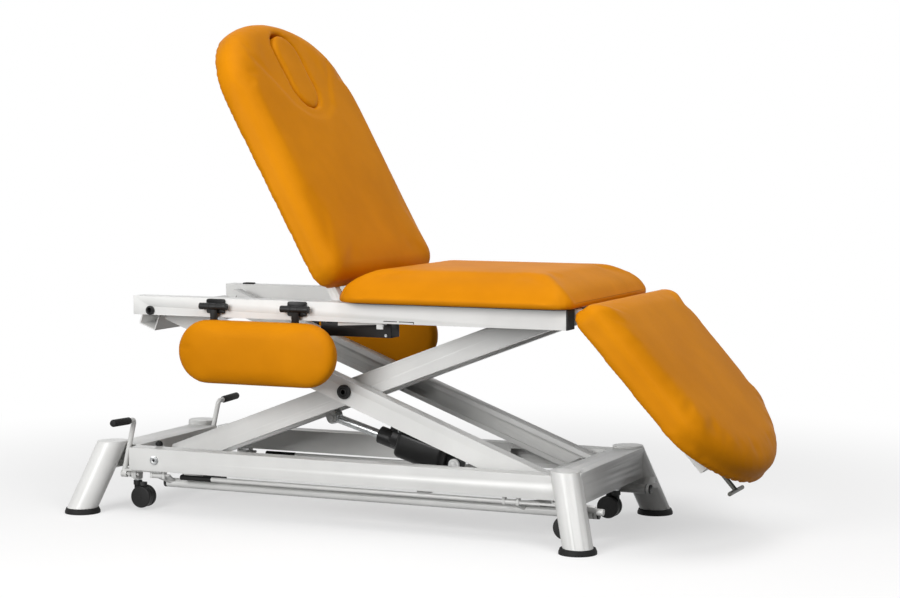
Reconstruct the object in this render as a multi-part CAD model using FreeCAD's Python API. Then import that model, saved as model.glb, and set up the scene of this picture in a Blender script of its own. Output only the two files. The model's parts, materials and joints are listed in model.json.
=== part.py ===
"""Electric treatment table: scissor lift on a four-legged base, seat, backrest, leg rest, side rests.

Millimetres. X runs from the head end to the foot end, Y across the table, Z up.
The floor is Z = 0. The model is drawn about the middle of the feet and then moved along X,
so that the finished table's box is centred on the origin.
The seat is drawn at rest height, the backrest raised and the leg rest lowered.
"""
import FreeCAD, Part
import math
import os
from FreeCAD import Vector

# Base frame
BASE_RAIL_Z = 119.0          # underside of the base rails
BASE_RAIL_H = 61.0
BASE_RAIL_W = 50.0
BASE_HALF_W = 265.0          # outer face of a base rail from the middle plane
SHEET = 3.0                  # wall of every channel and tube of the frame
LIP = 10.0                   # inward lip of the channels
PIVOT_X = -512.0             # fixed pivots at the head end, on the base and on the upper frame
HALF_SPAN = 535.0            # fixed pivot to centre pin, along X at rest
ROLLER_X = PIVOT_X + 2 * HALF_SPAN
HEAD_CROSS_X1 = PIVOT_X - 80.0
HEAD_CROSS_X0 = HEAD_CROSS_X1 - 88.0
FOOT_CROSS_X0 = ROLLER_X + 67.0
FOOT_CROSS_X1 = FOOT_CROSS_X0 + 78.0
FOOT_CROSS_Z0, FOOT_CROSS_Z1 = 108.0, 188.0
HEAD_CROSS_END = 212.0       # half length of the head cross-member past the leg
CROSS_HALF_W = 246.0
LEG_R = 38.0
LEG_WALL = 3.0
LEG_TOP_X = ROLLER_X + 100.5
LEG_TOP_Y, LEG_TOP_Z = 239.0, 192.0
LEG_FOOT_X = LEG_TOP_X + 57.5
LEG_FOOT_Y = 304.0
BASE_MID_X = PIVOT_X + HALF_SPAN - 23.0    # midway between the head legs and the foot legs
PAD_R, PAD_TOP_R, PAD_H = 48.0, 44.5, 14.0
CORNER_PLATE_T = 5.0
CORNER_PLATE_L = 110.0

# Scissor lift
UPPER_PIVOT_Z = 556.0
ARM_H = 62.0
ARM_T = 40.0
INNER_ARM_Y = 138.0          # outer face of an inner arm
OUTER_ARM_Y = 190.0          # outer face of an outer arm
ARM_TAIL = 20.0              # arm past its roller
ARM_TOP_GAP = 5.0            # inner arm under the cushions
PIN_R = 10.0
AXLE_R = 9.0
RUN_GAP = 0.06               # radial gap of a running fit
FACE_GAP = 0.5               # side gap between faces that pass each other
ROLLER_GAP = 0.5             # roller to flange in the base rails
UP_ROLLER_GAP = 1.2          # the upper rollers also rise and fall a little as the lift moves
ROLLER_W = 30.0
COLLAR_WALL = 2.0            # spacer round an axle, which passes between a channel's lips
SLEEVE_R = 17.0
HEAD_BEAM_L = 52.0
HEAD_BEAM_DROP = 64.0
EAR_WALL = 3.0               # ear round an upper pivot pin, which passes under the lowered backrest
CAP_R = 19.0
SMALL_CAP_R = 12.0
CAP_H = 9.0

# Lift actuator
ACT_BASE_X = 262.0
ACT_ARM_X, ACT_ARM_DROP = -150.0, 46.0    # lift bar on the inner arms, from the centre pin
ACT_TUBE_R = 24.0
ACT_ROD_R = 12.0
ACT_MOTOR_R = 34.0
ACT_MOTOR_L = 130.0
ACT_MOTOR_UP = 12.0
ACT_OVERLAP = 110.0          # rod left inside the tube at rest
ACT_RETRACT = 30.0           # room behind the rod
EYE_R, EYE_PIN_R = 17.0, 8.0
BASE_BAR_W, BASE_BAR_H = 40.0, 26.0

# Upper frame
UP_RAIL_X0 = PIVOT_X - 54.0
UP_RAIL_X1 = ROLLER_X + 114.0
UP_RAIL_Z, UP_RAIL_H, UP_RAIL_W = 544.0, 50.0, 50.0
UP_HALF_W = 274.5
CROSSBAR_H, CROSSBAR_W = 18.0, 40.0
CROSSBAR_XS = (-200.0, 60.0, 280.0)
HINGE_DROP = 8.0             # hinge lines under the cushions' underside
HINGE_EAR_R, HINGE_EAR_T = 7.4, 8.0
HINGE_PIN_R = 4.0
BACK_HINGE_X = 24.0
LEG_HINGE_X = UP_RAIL_X1 + 7.3
BOX_X0, BOX_X1, BOX_Y, BOX_H = -40.0, 164.0, 150.0, 44.0
BOX_W = 52.0
REL_X, REL_Y, REL_Z, REL_L, REL_T, REL_PIN_R = 160.0, 250.0, 536.0, 122.0, 14.0, 3.0

# Upholstery
CUSHION_T = 84.0
CUSHION_HALF_W = 318.0
BOARD_T = 12.0
BOARD_INSET = 16.0
SOFT_GAP = 0.3
EDGE_TOP_R, EDGE_LOW_R = 42.0, 6.0
SEAT_X0 = 52.0
SEAT_X1 = UP_RAIL_X1 + 18.0
SEAT_CORNER_R, SEAT_END_R = 72.0, 48.0
BACK_X0 = 46.0
BACK_CORNER_R, BACK_HEAD_R, BACK_BULGE = 54.0, 222.0, 110.0
LEG_X0, LEG_X1 = 16.0, 584.0
LEG_CORNER_R, LEG_END_R, LEG_BULGE = 48.0, 123.0, 170.0
BACK_ANGLE = 61.0            # backrest above the horizontal
LEG_ANGLE = 48.2             # leg rest below the horizontal
FACE_X, FACE_L, FACE_W = 648.0, 226.0, 132.0
BACK_X1 = FACE_X + 158.0     # the head end, past the face opening
FACE_GAP_SOFT = 1.0
PAD_TUBE = 25.0
PAD_TUBE_WALL = 2.5
PAD_TUBE_Y = UP_HALF_W - UP_RAIL_W - HINGE_EAR_T - PAD_TUBE / 2 - 1.0    # tubes under the backrest and leg rest
BACK_CROSS_X, BACK_MID_CROSS_X = 60.0, 380.0
BACK_TUBE_X1 = 700.0
LEG_TUBE_X1 = 500.0
HANDLE_ROD_R, HANDLE_BAR_R, HANDLE_BAR_L = 6.0, 5.5, 116.0
HANDLE_X0, HANDLE_X1, HANDLE_OUT = 430.0, 573.0, 53.0

# Side rests
REST_X0, REST_X1 = -394.0, 62.0
REST_Z0, REST_Z1 = 374.0, 541.0
REST_T = 58.0
REST_EDGE_R = 20.0
REST_GAP = 19.0              # rail face to pad
CLAMP_XS = (-309.0, -68.0)
CLAMP_W, CLAMP_H, CLAMP_BODY_T = 52.0, 38.0, 10.0
CLAMP_PIN_R, CLAMP_EYE_R = 5.0, 8.5
CLAMP_KNOB_R, CLAMP_KNOB_L = 9.0, 14.0
HANGER_W, HANGER_T, HANGER_L = 20.0, 6.0, 120.0

# Castors and their levers
CASTOR_HEAD_X = HEAD_CROSS_X1 - 16.0
CASTOR_HEAD_Y = 195.0
CASTOR_FOOT_X = FOOT_CROSS_X0 + 27.0
CASTOR_FOOT_Y = 165.0
CASTOR_CLEAR = 6.0           # wheel above the floor at rest
WHEEL_R, WHEEL_W, WHEEL_GAP = 30.0, 12.0, 14.0
TRAIL = 18.0
STEM_R = 9.0
HOUSING_R, HOUSING_TIP_R, HOUSING_Z = 16.0, 13.0, 84.0
FORK_TOP_Z = 80.0
WHEEL_AXLE_R = 3.0
LEVER_R = 7.0
LEVER_Y = 229.0
LEVER_FOOT_X = CASTOR_HEAD_X - 22.8
LEVER_FOOT_Z = 102.0
LEVER_TOP_X = LEVER_FOOT_X + 34.8
LEVER_TOP_Z = 247.0
LEVER_SHAFT_R = 5.0
LUG_OFF, LUG_T = 6.0, 14.0
GRIP_R, GRIP_L = 10.0, 92.0

# Foot bars under the base rails
FOOT_BAR_X0 = PIVOT_X + 7.0
FOOT_BAR_X1 = FOOT_CROSS_X1 + 19.0
FOOT_BAR_Y, FOOT_BAR_Z, FOOT_BAR_R, FOOT_BAR_WALL = 205.0, 82.0, 12.5, 2.0
FOOT_ARM_XS = (PIVOT_X - 18.0, ROLLER_X - 58.0)
FOOT_HINGE_Y, FOOT_HINGE_Z = 240.0, 104.0
KNUCKLE_R, KNUCKLE_L = 7.0, 30.0
FOOT_PIN_R, FOOT_LUG_T = 4.0, 7.0


def box(x0, x1, y0, y1, z0, z1):
    """A box between two corners."""
    return Part.makeBox(x1 - x0, y1 - y0, z1 - z0, Vector(x0, y0, z0))


def rod(start, end, radius):
    """A round bar from one point to another."""
    a, b = Vector(*start), Vector(*end)
    return Part.makeCylinder(radius, (b - a).Length, a, b - a)


def pin_y(x, z, y0, y1, radius):
    """A round bar across the table."""
    return rod((x, y0, z), (x, y1, z), radius)


def mirrored(shape):
    """The same shape on the other side of the middle plane."""
    return shape.mirror(Vector(0, 0, 0), Vector(0, 1, 0))


def pair(shape):
    """A shape and its mirror image as one group."""
    return Part.makeCompound([shape, mirrored(shape)])


def group(parts):
    """Touching solids in one node: each is trimmed by the ones before it."""
    kept = []
    for part in parts:
        for other in kept:
            if part.BoundBox.intersect(other.BoundBox):
                part = part.cut(other)
        kept.append(part)
    return Part.makeCompound(kept)


def place(shape, x, z, angle=0.0):
    """Turn a shape drawn along +X up by an angle and move its origin to x, z."""
    turned = shape.copy()
    turned.rotate(Vector(0, 0, 0), Vector(0, 1, 0), -angle)
    turned.translate(Vector(x, 0, z))
    return turned


def lipped_channel(x0, x1, outer_y, width, z0, height):
    """A channel on the +Y side, open towards the middle, with a lip on each flange."""
    inner_y = outer_y - width
    solid = box(x0, x1, inner_y, outer_y, z0, z0 + height)
    bore = box(x0 - 1, x1 + 1, inner_y + SHEET, outer_y - SHEET, z0 + SHEET, z0 + height - SHEET)
    lip = SHEET + LIP
    slot = box(x0 - 1, x1 + 1, inner_y - 1, inner_y + SHEET + 1, z0 + lip, z0 + height - lip)
    return solid.cut(bore).cut(slot)


def box_tube(x0, x1, y0, y1, z0, z1, wall, along="x"):
    """A rectangular tube, open at both ends."""
    dx, dy = (-1, wall) if along == "x" else (wall, -1)
    outer = box(x0, x1, y0, y1, z0, z1)
    return outer.cut(box(x0 + dx, x1 - dx, y0 + dy, y1 - dy, z0 + wall, z1 - wall))


# Values that follow from the sizes above
LOW_PIVOT_Z = BASE_RAIL_Z + BASE_RAIL_H / 2
ACT_BASE_Z = BASE_RAIL_Z + SHEET + LIP + EYE_R + 2.0
CENTRE_X = PIVOT_X + HALF_SPAN
CENTRE_Z = (LOW_PIVOT_Z + UPPER_PIVOT_Z) / 2
HALF_RISE = CENTRE_Z - LOW_PIVOT_Z
ARM_ANGLE = math.degrees(math.atan2(HALF_RISE, HALF_SPAN))
HALF_ARM = math.hypot(HALF_SPAN, HALF_RISE)
UP_ROLLER_Z = UP_RAIL_Z + UP_RAIL_H / 2
UNDERSIDE_Z = UP_RAIL_Z + UP_RAIL_H + 1.0
HINGE_Z = UNDERSIDE_Z - HINGE_DROP
BASE_INNER_Y = BASE_HALF_W - BASE_RAIL_W
UP_INNER_Y = UP_HALF_W - UP_RAIL_W
WHEEL_Z = CASTOR_CLEAR + WHEEL_R


def leg_axis_point(z):
    """Where a leg's middle line crosses a height, on the foot end's +Y leg."""
    share = (LEG_TOP_Z - z) / (LEG_TOP_Z - PAD_H)
    x = LEG_TOP_X + share * (LEG_FOOT_X - LEG_TOP_X)
    y = LEG_TOP_Y + share * (LEG_FOOT_Y - LEG_TOP_Y)
    return (x, y, z)


def leg_cylinder(radius):
    """A leg's round bar, longer than the leg at both ends."""
    return rod(leg_axis_point(PAD_H - 60), leg_axis_point(LEG_TOP_Z + 60), radius)


def four_corners(shape):
    """A shape of the foot end's +Y corner at all four corners."""
    head = shape.mirror(Vector(BASE_MID_X, 0, 0), Vector(1, 0, 0))
    return [shape, mirrored(shape), head, mirrored(head)]


def leg():
    """A slanted round leg, cut level at the top and the pad and closed on top."""
    x0, x1, y1 = LEG_TOP_X - 3 * LEG_R, LEG_FOOT_X + 3 * LEG_R, LEG_FOOT_Y + 3 * LEG_R
    level = box(x0, x1, 0, y1, PAD_H, LEG_TOP_Z)
    hollow = box(x0, x1, 0, y1, PAD_H - 1, LEG_TOP_Z - LEG_WALL)
    return leg_cylinder(LEG_R).common(level).cut(leg_cylinder(LEG_R - LEG_WALL).common(hollow))


def foot_pad():
    """A rubber foot: a flat disc with a tapered rim."""
    x, y, _ = leg_axis_point(PAD_H)
    rim = PAD_H * 0.4
    lower = Part.makeCylinder(PAD_R, rim, Vector(x, y, 0))
    return lower.fuse(Part.makeCone(PAD_R, PAD_TOP_R, PAD_H - rim, Vector(x, y, rim))).removeSplitter()


def coped(shape):
    """A base member with the four legs' round bars cut away."""
    return shape.cut(Part.makeCompound(four_corners(leg_cylinder(LEG_R))))


def biggest(shape):
    """The largest solid, which drops the offcuts past a leg."""
    return max(shape.Solids, key=lambda solid: solid.Volume)


def base_rail():
    """A lipped channel along the +Y side of the base, with a hole for the pivot shaft."""
    rail = lipped_channel(HEAD_CROSS_X1, FOOT_CROSS_X1, BASE_HALF_W, BASE_RAIL_W, BASE_RAIL_Z, BASE_RAIL_H)
    rail = rail.cut(box(FOOT_CROSS_X0, FOOT_CROSS_X1 + 1, 0, CROSS_HALF_W, 0, LEG_TOP_Z))
    hole = pin_y(PIVOT_X, LOW_PIVOT_Z, 0, BASE_HALF_W + 1, PIN_R)
    return biggest(coped(rail.cut(hole)))


def head_cross():
    """The wide cross-member at the head end, notched where the castor levers pass."""
    z1 = BASE_RAIL_Z + BASE_RAIL_H
    bar = box_tube(HEAD_CROSS_X0, HEAD_CROSS_X1, -CROSS_HALF_W, CROSS_HALF_W, BASE_RAIL_Z, z1, SHEET, "y")
    notch = box(LEVER_FOOT_X - 12, HEAD_CROSS_X1 + 1, HEAD_CROSS_END, CROSS_HALF_W + 1, 0, z1 + 1)
    return biggest(coped(bar.cut(pair(notch))))


def foot_cross():
    """The deep cross-member at the foot end."""
    bar = box_tube(FOOT_CROSS_X0, FOOT_CROSS_X1, -CROSS_HALF_W, CROSS_HALF_W,
                   FOOT_CROSS_Z0, FOOT_CROSS_Z1, SHEET, "y")
    return biggest(coped(bar))


def castor_bracket(x, y, plate_top, inward):
    """A corner plate with the tapered housing that guides a castor's stem."""
    housing = Part.makeCone(HOUSING_TIP_R, HOUSING_R, plate_top - HOUSING_Z, Vector(x, y, HOUSING_Z))
    plate_z = plate_top - CORNER_PLATE_T
    edge, far = x - inward * (STEM_R + 1), x + inward * CORNER_PLATE_L
    points = [(edge, y - 30), (edge, BASE_HALF_W - 10), (far, BASE_HALF_W - 10), (far, BASE_HALF_W - 30)]
    wire = Part.makePolygon([Vector(px, py, plate_z) for px, py in points + points[:1]])
    plate = Part.Face(wire).extrude(Vector(0, 0, CORNER_PLATE_T))
    bore = Part.makeCylinder(STEM_R + RUN_GAP, plate_top, Vector(x, y, 0))
    return group([housing.cut(bore), plate.cut(bore)])


def lever_lug(grow=0.0):
    """The lug under the head end's corner plate that carries a castor lever's shaft."""
    r = LEVER_SHAFT_R + grow
    if grow:
        return rod((LEVER_FOOT_X, LEVER_Y, LEVER_FOOT_Z), (CASTOR_HEAD_X + 40, LEVER_Y, LEVER_FOOT_Z), r)
    x = CASTOR_HEAD_X + LUG_OFF
    return box(x, x + LUG_T, LEVER_Y - 9, LEVER_Y + 9, LEVER_FOOT_Z - 10, BASE_RAIL_Z - 1)


def foot_bar_lugs():
    """Lugs under the +Y rail with the pins that the foot bar's arms turn on."""
    solids = []
    y, z, half = FOOT_HINGE_Y, FOOT_HINGE_Z, KNUCKLE_R
    for x in FOOT_ARM_XS:
        ends = (x - FACE_GAP - FOOT_LUG_T, x + KNUCKLE_L + FACE_GAP)
        pin = rod((ends[0], y, z), (ends[1] + FOOT_LUG_T, y, z), FOOT_PIN_R)
        lugs = [box(e, e + FOOT_LUG_T, y - half, y + half, z - half, BASE_RAIL_Z) for e in ends]
        solids.append(pin.fuse(lugs).removeSplitter())
    return solids


def castor_brackets():
    """Brackets at the head and foot ends with the lugs of the levers and foot bars, on both sides."""
    head = castor_bracket(CASTOR_HEAD_X, CASTOR_HEAD_Y, BASE_RAIL_Z, 1)
    head = group(head.Solids + [lever_lug()]).cut(lever_lug(RUN_GAP))
    foot = coped(castor_bracket(CASTOR_FOOT_X, CASTOR_FOOT_Y, FOOT_CROSS_Z0, -1))
    side = group(head.Solids + [solid for solid in foot.Solids if solid.Volume > 1000] + foot_bar_lugs())
    return pair(side)


def lower_pivot_shaft():
    """The shaft through both base rails, with a round head on each outer face."""
    shaft = pin_y(PIVOT_X, LOW_PIVOT_Z, -BASE_HALF_W, BASE_HALF_W, PIN_R)
    head = pin_y(PIVOT_X, LOW_PIVOT_Z, BASE_HALF_W, BASE_HALF_W + 4, PIN_R + 2)
    return shaft.fuse(head).fuse(mirrored(head))


def base_bar():
    """The bar across the base that carries the actuator's clevis."""
    z0 = BASE_RAIL_Z
    bar = box(ACT_BASE_X - BASE_BAR_W / 2, ACT_BASE_X + BASE_BAR_W / 2, -BASE_INNER_Y, BASE_INNER_Y,
              z0 - BASE_BAR_H + SHEET + LIP, z0 + SHEET + LIP)
    bar = bar.cut(pair(box(ACT_BASE_X - 100, ACT_BASE_X + 100, OUTER_ARM_Y - ARM_T - 8, BASE_INNER_Y + 1,
                           z0, z0 + 100)))
    cheek_y = EYE_R + FACE_GAP
    top = z0 + SHEET + LIP
    cheek = box(ACT_BASE_X - 16, ACT_BASE_X + 16, cheek_y, cheek_y + 6, top - 1, ACT_BASE_Z)
    cheek = cheek.fuse(pin_y(ACT_BASE_X, ACT_BASE_Z, cheek_y, cheek_y + 6, 16))
    bolt = pin_y(ACT_BASE_X, ACT_BASE_Z, -cheek_y - 8, cheek_y + 8, EYE_PIN_R)
    return group([bolt, bar] + [cheek, mirrored(cheek)])


def bump_stop():
    """A rubber dome on the base rail's lower flange near the fixed pivot."""
    x, y = PIVOT_X - 22, BASE_INNER_Y - 12
    stem = Part.makeCylinder(10, 10, Vector(x, y, BASE_RAIL_Z + BASE_RAIL_H - 6))
    dome = Part.makeSphere(10, Vector(x, y, BASE_RAIL_Z + BASE_RAIL_H + 4))
    seat = box(x - 8, x + 8, y, BASE_INNER_Y, BASE_RAIL_Z + BASE_RAIL_H - 8, BASE_RAIL_Z + BASE_RAIL_H - 4)
    return stem.fuse(dome).fuse(seat).removeSplitter()


def arm_channel(outer_y, u0, u1, holes):
    """A lift arm along X on the +Y side, open towards the middle, with round holes through it."""
    channel = lipped_channel(u0, u1, outer_y, ARM_T, -ARM_H / 2, ARM_H)
    for u, radius in holes:
        channel = channel.cut(pin_y(u, 0, outer_y - ARM_T - 1, outer_y + 1, radius))
    return channel


def inner_arm():
    """An inner arm, fixed to the pivot sleeve at the base, with a roller axle at the top."""
    up_angle = math.degrees(math.atan2(UP_ROLLER_Z - CENTRE_Z, ROLLER_X - CENTRE_X)) - ARM_ANGLE
    reach = math.hypot(UP_ROLLER_Z - CENTRE_Z, ROLLER_X - CENTRE_X)
    tube = arm_channel(INNER_ARM_Y, -HALF_ARM - ARM_TAIL, reach + ARM_TAIL,
                    [(-HALF_ARM, SLEEVE_R), (0, PIN_R + RUN_GAP)])
    axle = pin_y(reach * math.cos(math.radians(up_angle)), reach * math.sin(math.radians(up_angle)),
                 0, INNER_ARM_Y + 1, AXLE_R + RUN_GAP)
    tube = place(tube.cut(axle), CENTRE_X, CENTRE_Z, ARM_ANGLE)
    z1 = UNDERSIDE_Z + ARM_H
    tube = tube.cut(box(CENTRE_X, ROLLER_X + ARM_H * 2, 0, UP_HALF_W, UNDERSIDE_Z - ARM_TOP_GAP, z1))
    return tube.cut(box(PIVOT_X - ARM_H * 2, PIVOT_X - SLEEVE_R - 3, 0, UP_HALF_W, 0, z1))


def inner_sleeve():
    """The tube that joins the inner arms round the base pivot shaft."""
    sleeve = pin_y(PIVOT_X, LOW_PIVOT_Z, -INNER_ARM_Y, INNER_ARM_Y, SLEEVE_R)
    return sleeve.cut(pin_y(PIVOT_X, LOW_PIVOT_Z, -INNER_ARM_Y - 1, INNER_ARM_Y + 1, PIN_R + RUN_GAP))


def lift_pin_place():
    """Where the actuator's pin sits on the inner arms, at rest."""
    a = math.radians(ARM_ANGLE)
    x = CENTRE_X + ACT_ARM_X * math.cos(a) + ACT_ARM_DROP * math.sin(a)
    z = CENTRE_Z + ACT_ARM_X * math.sin(a) - ACT_ARM_DROP * math.cos(a)
    return x, z


def lift_bar():
    """The bar between the inner arms with two cheeks; the pin between them is left out."""
    inside = INNER_ARM_Y - SHEET
    bar = box(ACT_ARM_X - 20, ACT_ARM_X + 20, -inside, inside, -14, 14)
    cheek_y = EYE_R + FACE_GAP
    cheek = box(ACT_ARM_X - 14, ACT_ARM_X + 14, cheek_y, cheek_y + 6, -ACT_ARM_DROP, -13)
    cheek = cheek.fuse(pin_y(ACT_ARM_X, -ACT_ARM_DROP, cheek_y, cheek_y + 6, 14))
    head = pin_y(ACT_ARM_X, -ACT_ARM_DROP, cheek_y + 6, cheek_y + 10, EYE_PIN_R + 2)
    cheek = cheek.fuse(head).removeSplitter()
    return place(group([bar, cheek, mirrored(cheek)]), CENTRE_X, CENTRE_Z, ARM_ANGLE)


def roller_set(x, z, channel_outer_y, channel_h, arm_y, gap):
    """An axle with a roller at each end, which turns in its arms' bores."""
    radius = channel_h / 2 - SHEET - gap
    outer = channel_outer_y - SHEET - 4
    roller = pin_y(x, z, outer - ROLLER_W, outer, radius)
    axle = pin_y(x, z, -outer, outer, AXLE_R)
    collar = pin_y(x, z, arm_y + FACE_GAP, outer - ROLLER_W, AXLE_R + COLLAR_WALL)
    return group([axle, roller, mirrored(roller), collar, mirrored(collar)])


def outer_arm():
    """An outer arm, pinned to the upper frame at the head end, with a roller axle at the foot end."""
    tube = arm_channel(OUTER_ARM_Y, -HALF_ARM - ARM_TAIL, HALF_ARM + ARM_TAIL,
                    [(0, PIN_R), (HALF_ARM, AXLE_R + RUN_GAP)])
    beam = box(-HALF_ARM - HEAD_BEAM_L, -HALF_ARM, 0, OUTER_ARM_Y + 5, -HEAD_BEAM_DROP, ARM_H)
    return place(tube.cut(beam), CENTRE_X, CENTRE_Z, -ARM_ANGLE)


def head_beam():
    """The beam across the outer arms under the upper rails, with an ear and a bore at each end."""
    u0, u1 = -HALF_ARM - HEAD_BEAM_L / 2, -HALF_ARM
    end_y = UP_INNER_Y - 6
    beam = box_tube(u0 - HEAD_BEAM_L / 2, u1, -end_y, end_y, -HEAD_BEAM_DROP, -PIN_R - 4, SHEET, "y")
    ear = box(-HALF_ARM - PIN_R - EAR_WALL, -HALF_ARM, end_y - 12, end_y, -PIN_R - 5, 0)
    ear = ear.fuse(pin_y(-HALF_ARM, 0, end_y - 12, end_y, PIN_R + EAR_WALL))
    ear = ear.cut(pin_y(-HALF_ARM, 0, end_y - 13, end_y + 1, PIN_R + RUN_GAP))
    ear = ear.cut(box(-HALF_ARM, 0, end_y - 13, end_y + 1, -HEAD_BEAM_DROP, -PIN_R - 7))
    return place(group([beam, ear, mirrored(ear)]), CENTRE_X, CENTRE_Z, -ARM_ANGLE)


def centre_pin():
    """The pin at the crossing, fast in the outer arm and running in the inner arm, with its cap."""
    pin = pin_y(CENTRE_X, CENTRE_Z, INNER_ARM_Y - SHEET - 12, OUTER_ARM_Y, PIN_R)
    washer = pin_y(CENTRE_X, CENTRE_Z, INNER_ARM_Y + FACE_GAP, OUTER_ARM_Y - SHEET, PIN_R + 5)
    cap = pin_y(CENTRE_X, CENTRE_Z, OUTER_ARM_Y, OUTER_ARM_Y + CAP_H, CAP_R)
    cap = cap.makeFillet(CAP_H / 3, [e for e in cap.Edges if e.BoundBox.YMin > OUTER_ARM_Y + CAP_H - 0.1])
    return pin.fuse([washer, cap]).removeSplitter()


def upper_rail():
    """A lipped channel along the +Y side of the upper frame."""
    rail = lipped_channel(UP_RAIL_X0, UP_RAIL_X1, UP_HALF_W, UP_RAIL_W, UP_RAIL_Z, UP_RAIL_H)
    return rail.cut(pin_y(PIVOT_X, UPPER_PIVOT_Z, 0, UP_HALF_W + 1, PIN_R))


def upper_pivot_pin():
    """The pin that hangs the outer arms from an upper rail, with a black cap outside."""
    end_y = UP_INNER_Y - 6
    pin = pin_y(PIVOT_X, UPPER_PIVOT_Z, end_y - 16, UP_HALF_W, PIN_R)
    cap = pin_y(PIVOT_X, UPPER_PIVOT_Z, UP_HALF_W, UP_HALF_W + 7, SMALL_CAP_R)
    return pin.fuse(cap).removeSplitter()


def rail_plugs():
    """Plastic plugs in the foot ends of the upper rails."""
    gap = 0.2
    y0, y1 = UP_INNER_Y + SHEET + gap, UP_HALF_W - SHEET - gap
    plug = box(UP_RAIL_X1 - 20, UP_RAIL_X1, y0, y1, UP_RAIL_Z + SHEET + gap, UP_RAIL_Z + UP_RAIL_H - SHEET - gap)
    face = box(UP_RAIL_X1, UP_RAIL_X1 + 4, UP_INNER_Y, UP_HALF_W, UP_RAIL_Z, UP_RAIL_Z + UP_RAIL_H)
    return pair(plug.fuse(face).removeSplitter())


def crossbars():
    """Flat bars between the upper rails."""
    bars = []
    for x in CROSSBAR_XS:
        bars.append(box(x, x + CROSSBAR_W, -UP_INNER_Y, UP_INNER_Y, UP_RAIL_Z, UP_RAIL_Z + CROSSBAR_H))
    return Part.makeCompound(bars + [lever_bracket()])


def hinge_ear(x, reach_back):
    """A hinge ear on a rail's inner face with its pin."""
    y0, y1 = UP_INNER_Y - HINGE_EAR_T, UP_INNER_Y
    ear = box(x - reach_back, x, y0, y1, HINGE_Z - HINGE_EAR_R, HINGE_Z + HINGE_EAR_R)
    ear = ear.fuse(pin_y(x, HINGE_Z, y0, y1, HINGE_EAR_R))
    pin = pin_y(x, HINGE_Z, PAD_TUBE_Y - PAD_TUBE / 2 - 3, y0, HINGE_PIN_R)
    return ear.fuse(pin).removeSplitter()


def hinge_ears():
    """Hinge ears and pins of the backrest and of the leg rest."""
    back = hinge_ear(BACK_HINGE_X, 40)
    legs = hinge_ear(LEG_HINGE_X, 50)
    return Part.makeCompound([back, mirrored(back), legs, mirrored(legs)])


def lever_bracket():
    """The lug and pin under the -Y rail that carry the backrest's release lever."""
    y0 = -REL_Y - REL_T / 2 - FACE_GAP
    lug = box(REL_X - 9, REL_X + 9, y0 - 5, y0, REL_Z - 8, UP_RAIL_Z)
    return lug.fuse(pin_y(REL_X, REL_Z, y0, -REL_Y + REL_T / 2 + 2, REL_PIN_R)).removeSplitter()


def backrest_lever():
    """The tapered release lever under the -Y rail."""
    y0 = -REL_Y - REL_T / 2
    points = [(REL_X + 8, REL_Z - 7), (REL_X + 8, REL_Z + 6), (REL_X - 20, REL_Z + 6),
              (REL_X - REL_L, REL_Z - 1), (REL_X - REL_L, REL_Z - 8)]
    wire = Part.makePolygon([Vector(px, y0, pz) for px, pz in points + points[:1]])
    bar = Part.Face(wire).extrude(Vector(0, REL_T, 0))
    return bar.cut(pin_y(REL_X, REL_Z, y0 - 1, y0 + REL_T + 1, REL_PIN_R + RUN_GAP))


def control_box():
    """The control box under the crossbars near the middle."""
    top = UP_RAIL_Z
    shell = box(BOX_X0, BOX_X1, -BOX_Y - BOX_W, -BOX_Y, top - BOX_H, top)
    shell = shell.makeFillet(3.0, [e for e in shell.Edges if e.BoundBox.ZLength > 1])
    tab = box(CROSSBAR_XS[1] + 4, CROSSBAR_XS[1] + CROSSBAR_W - 4, -BOX_Y - BOX_W, -BOX_Y, top - 1, top)
    return shell.fuse(tab).removeSplitter()


def cushion_blank(u0, u1, half_w, low_r, end_r, bulge, inset, thickness):
    """A pad's plan with rounded corners, raised to its thickness; the far end may bow out."""
    w = half_w - inset
    a, b = u0 + inset, u1 - inset
    edges = [Part.LineSegment(Vector(b - bulge, -w, 0), Vector(a, -w, 0)).toShape(),
             Part.LineSegment(Vector(a, -w, 0), Vector(a, w, 0)).toShape(),
             Part.LineSegment(Vector(a, w, 0), Vector(b - bulge, w, 0)).toShape()]
    if bulge > 0:
        end = Part.Arc(Vector(b - bulge, w, 0), Vector(b, 0, 0), Vector(b - bulge, -w, 0)).toShape()
    else:
        end = Part.LineSegment(Vector(b, w, 0), Vector(b, -w, 0)).toShape()
    solid = Part.Face(Part.Wire(edges + [end])).extrude(Vector(0, 0, thickness))
    uprights = [e for e in solid.Edges if e.BoundBox.ZLength > thickness - 0.1]
    near = [e for e in uprights if e.BoundBox.XMin < (a + b) / 2]
    far = [e for e in uprights if e.BoundBox.XMin > (a + b) / 2]
    return solid.makeFillet(max(low_r - inset, 2), near).makeFillet(max(end_r - inset, 2), far)


def soften(pad, thickness, top_r, low_r):
    """Round the top and bottom edges of a pad."""
    top = [e for e in pad.Edges if e.BoundBox.ZMin > thickness - 0.1]
    pad = pad.makeFillet(top_r, top)
    low = [e for e in pad.Edges if e.BoundBox.ZMax < 0.1]
    return pad.makeFillet(low_r, low)


def section_pad(u0, u1, low_r, end_r, bulge):
    """A cushion with the pocket for its board on the underside."""
    pad = cushion_blank(u0, u1, CUSHION_HALF_W, low_r, end_r, bulge, 0, CUSHION_T)
    pad = soften(pad, CUSHION_T, EDGE_TOP_R, EDGE_LOW_R)
    return pad.cut(section_board(u0, u1, low_r, end_r, bulge, SOFT_GAP))


def section_board(u0, u1, low_r, end_r, bulge, grow=0.0):
    """The board in the underside of a cushion, or its pocket when grown."""
    inset = BOARD_INSET - grow
    return cushion_blank(u0, u1, CUSHION_HALF_W, low_r, end_r, bulge, inset, BOARD_T + grow)


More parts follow.
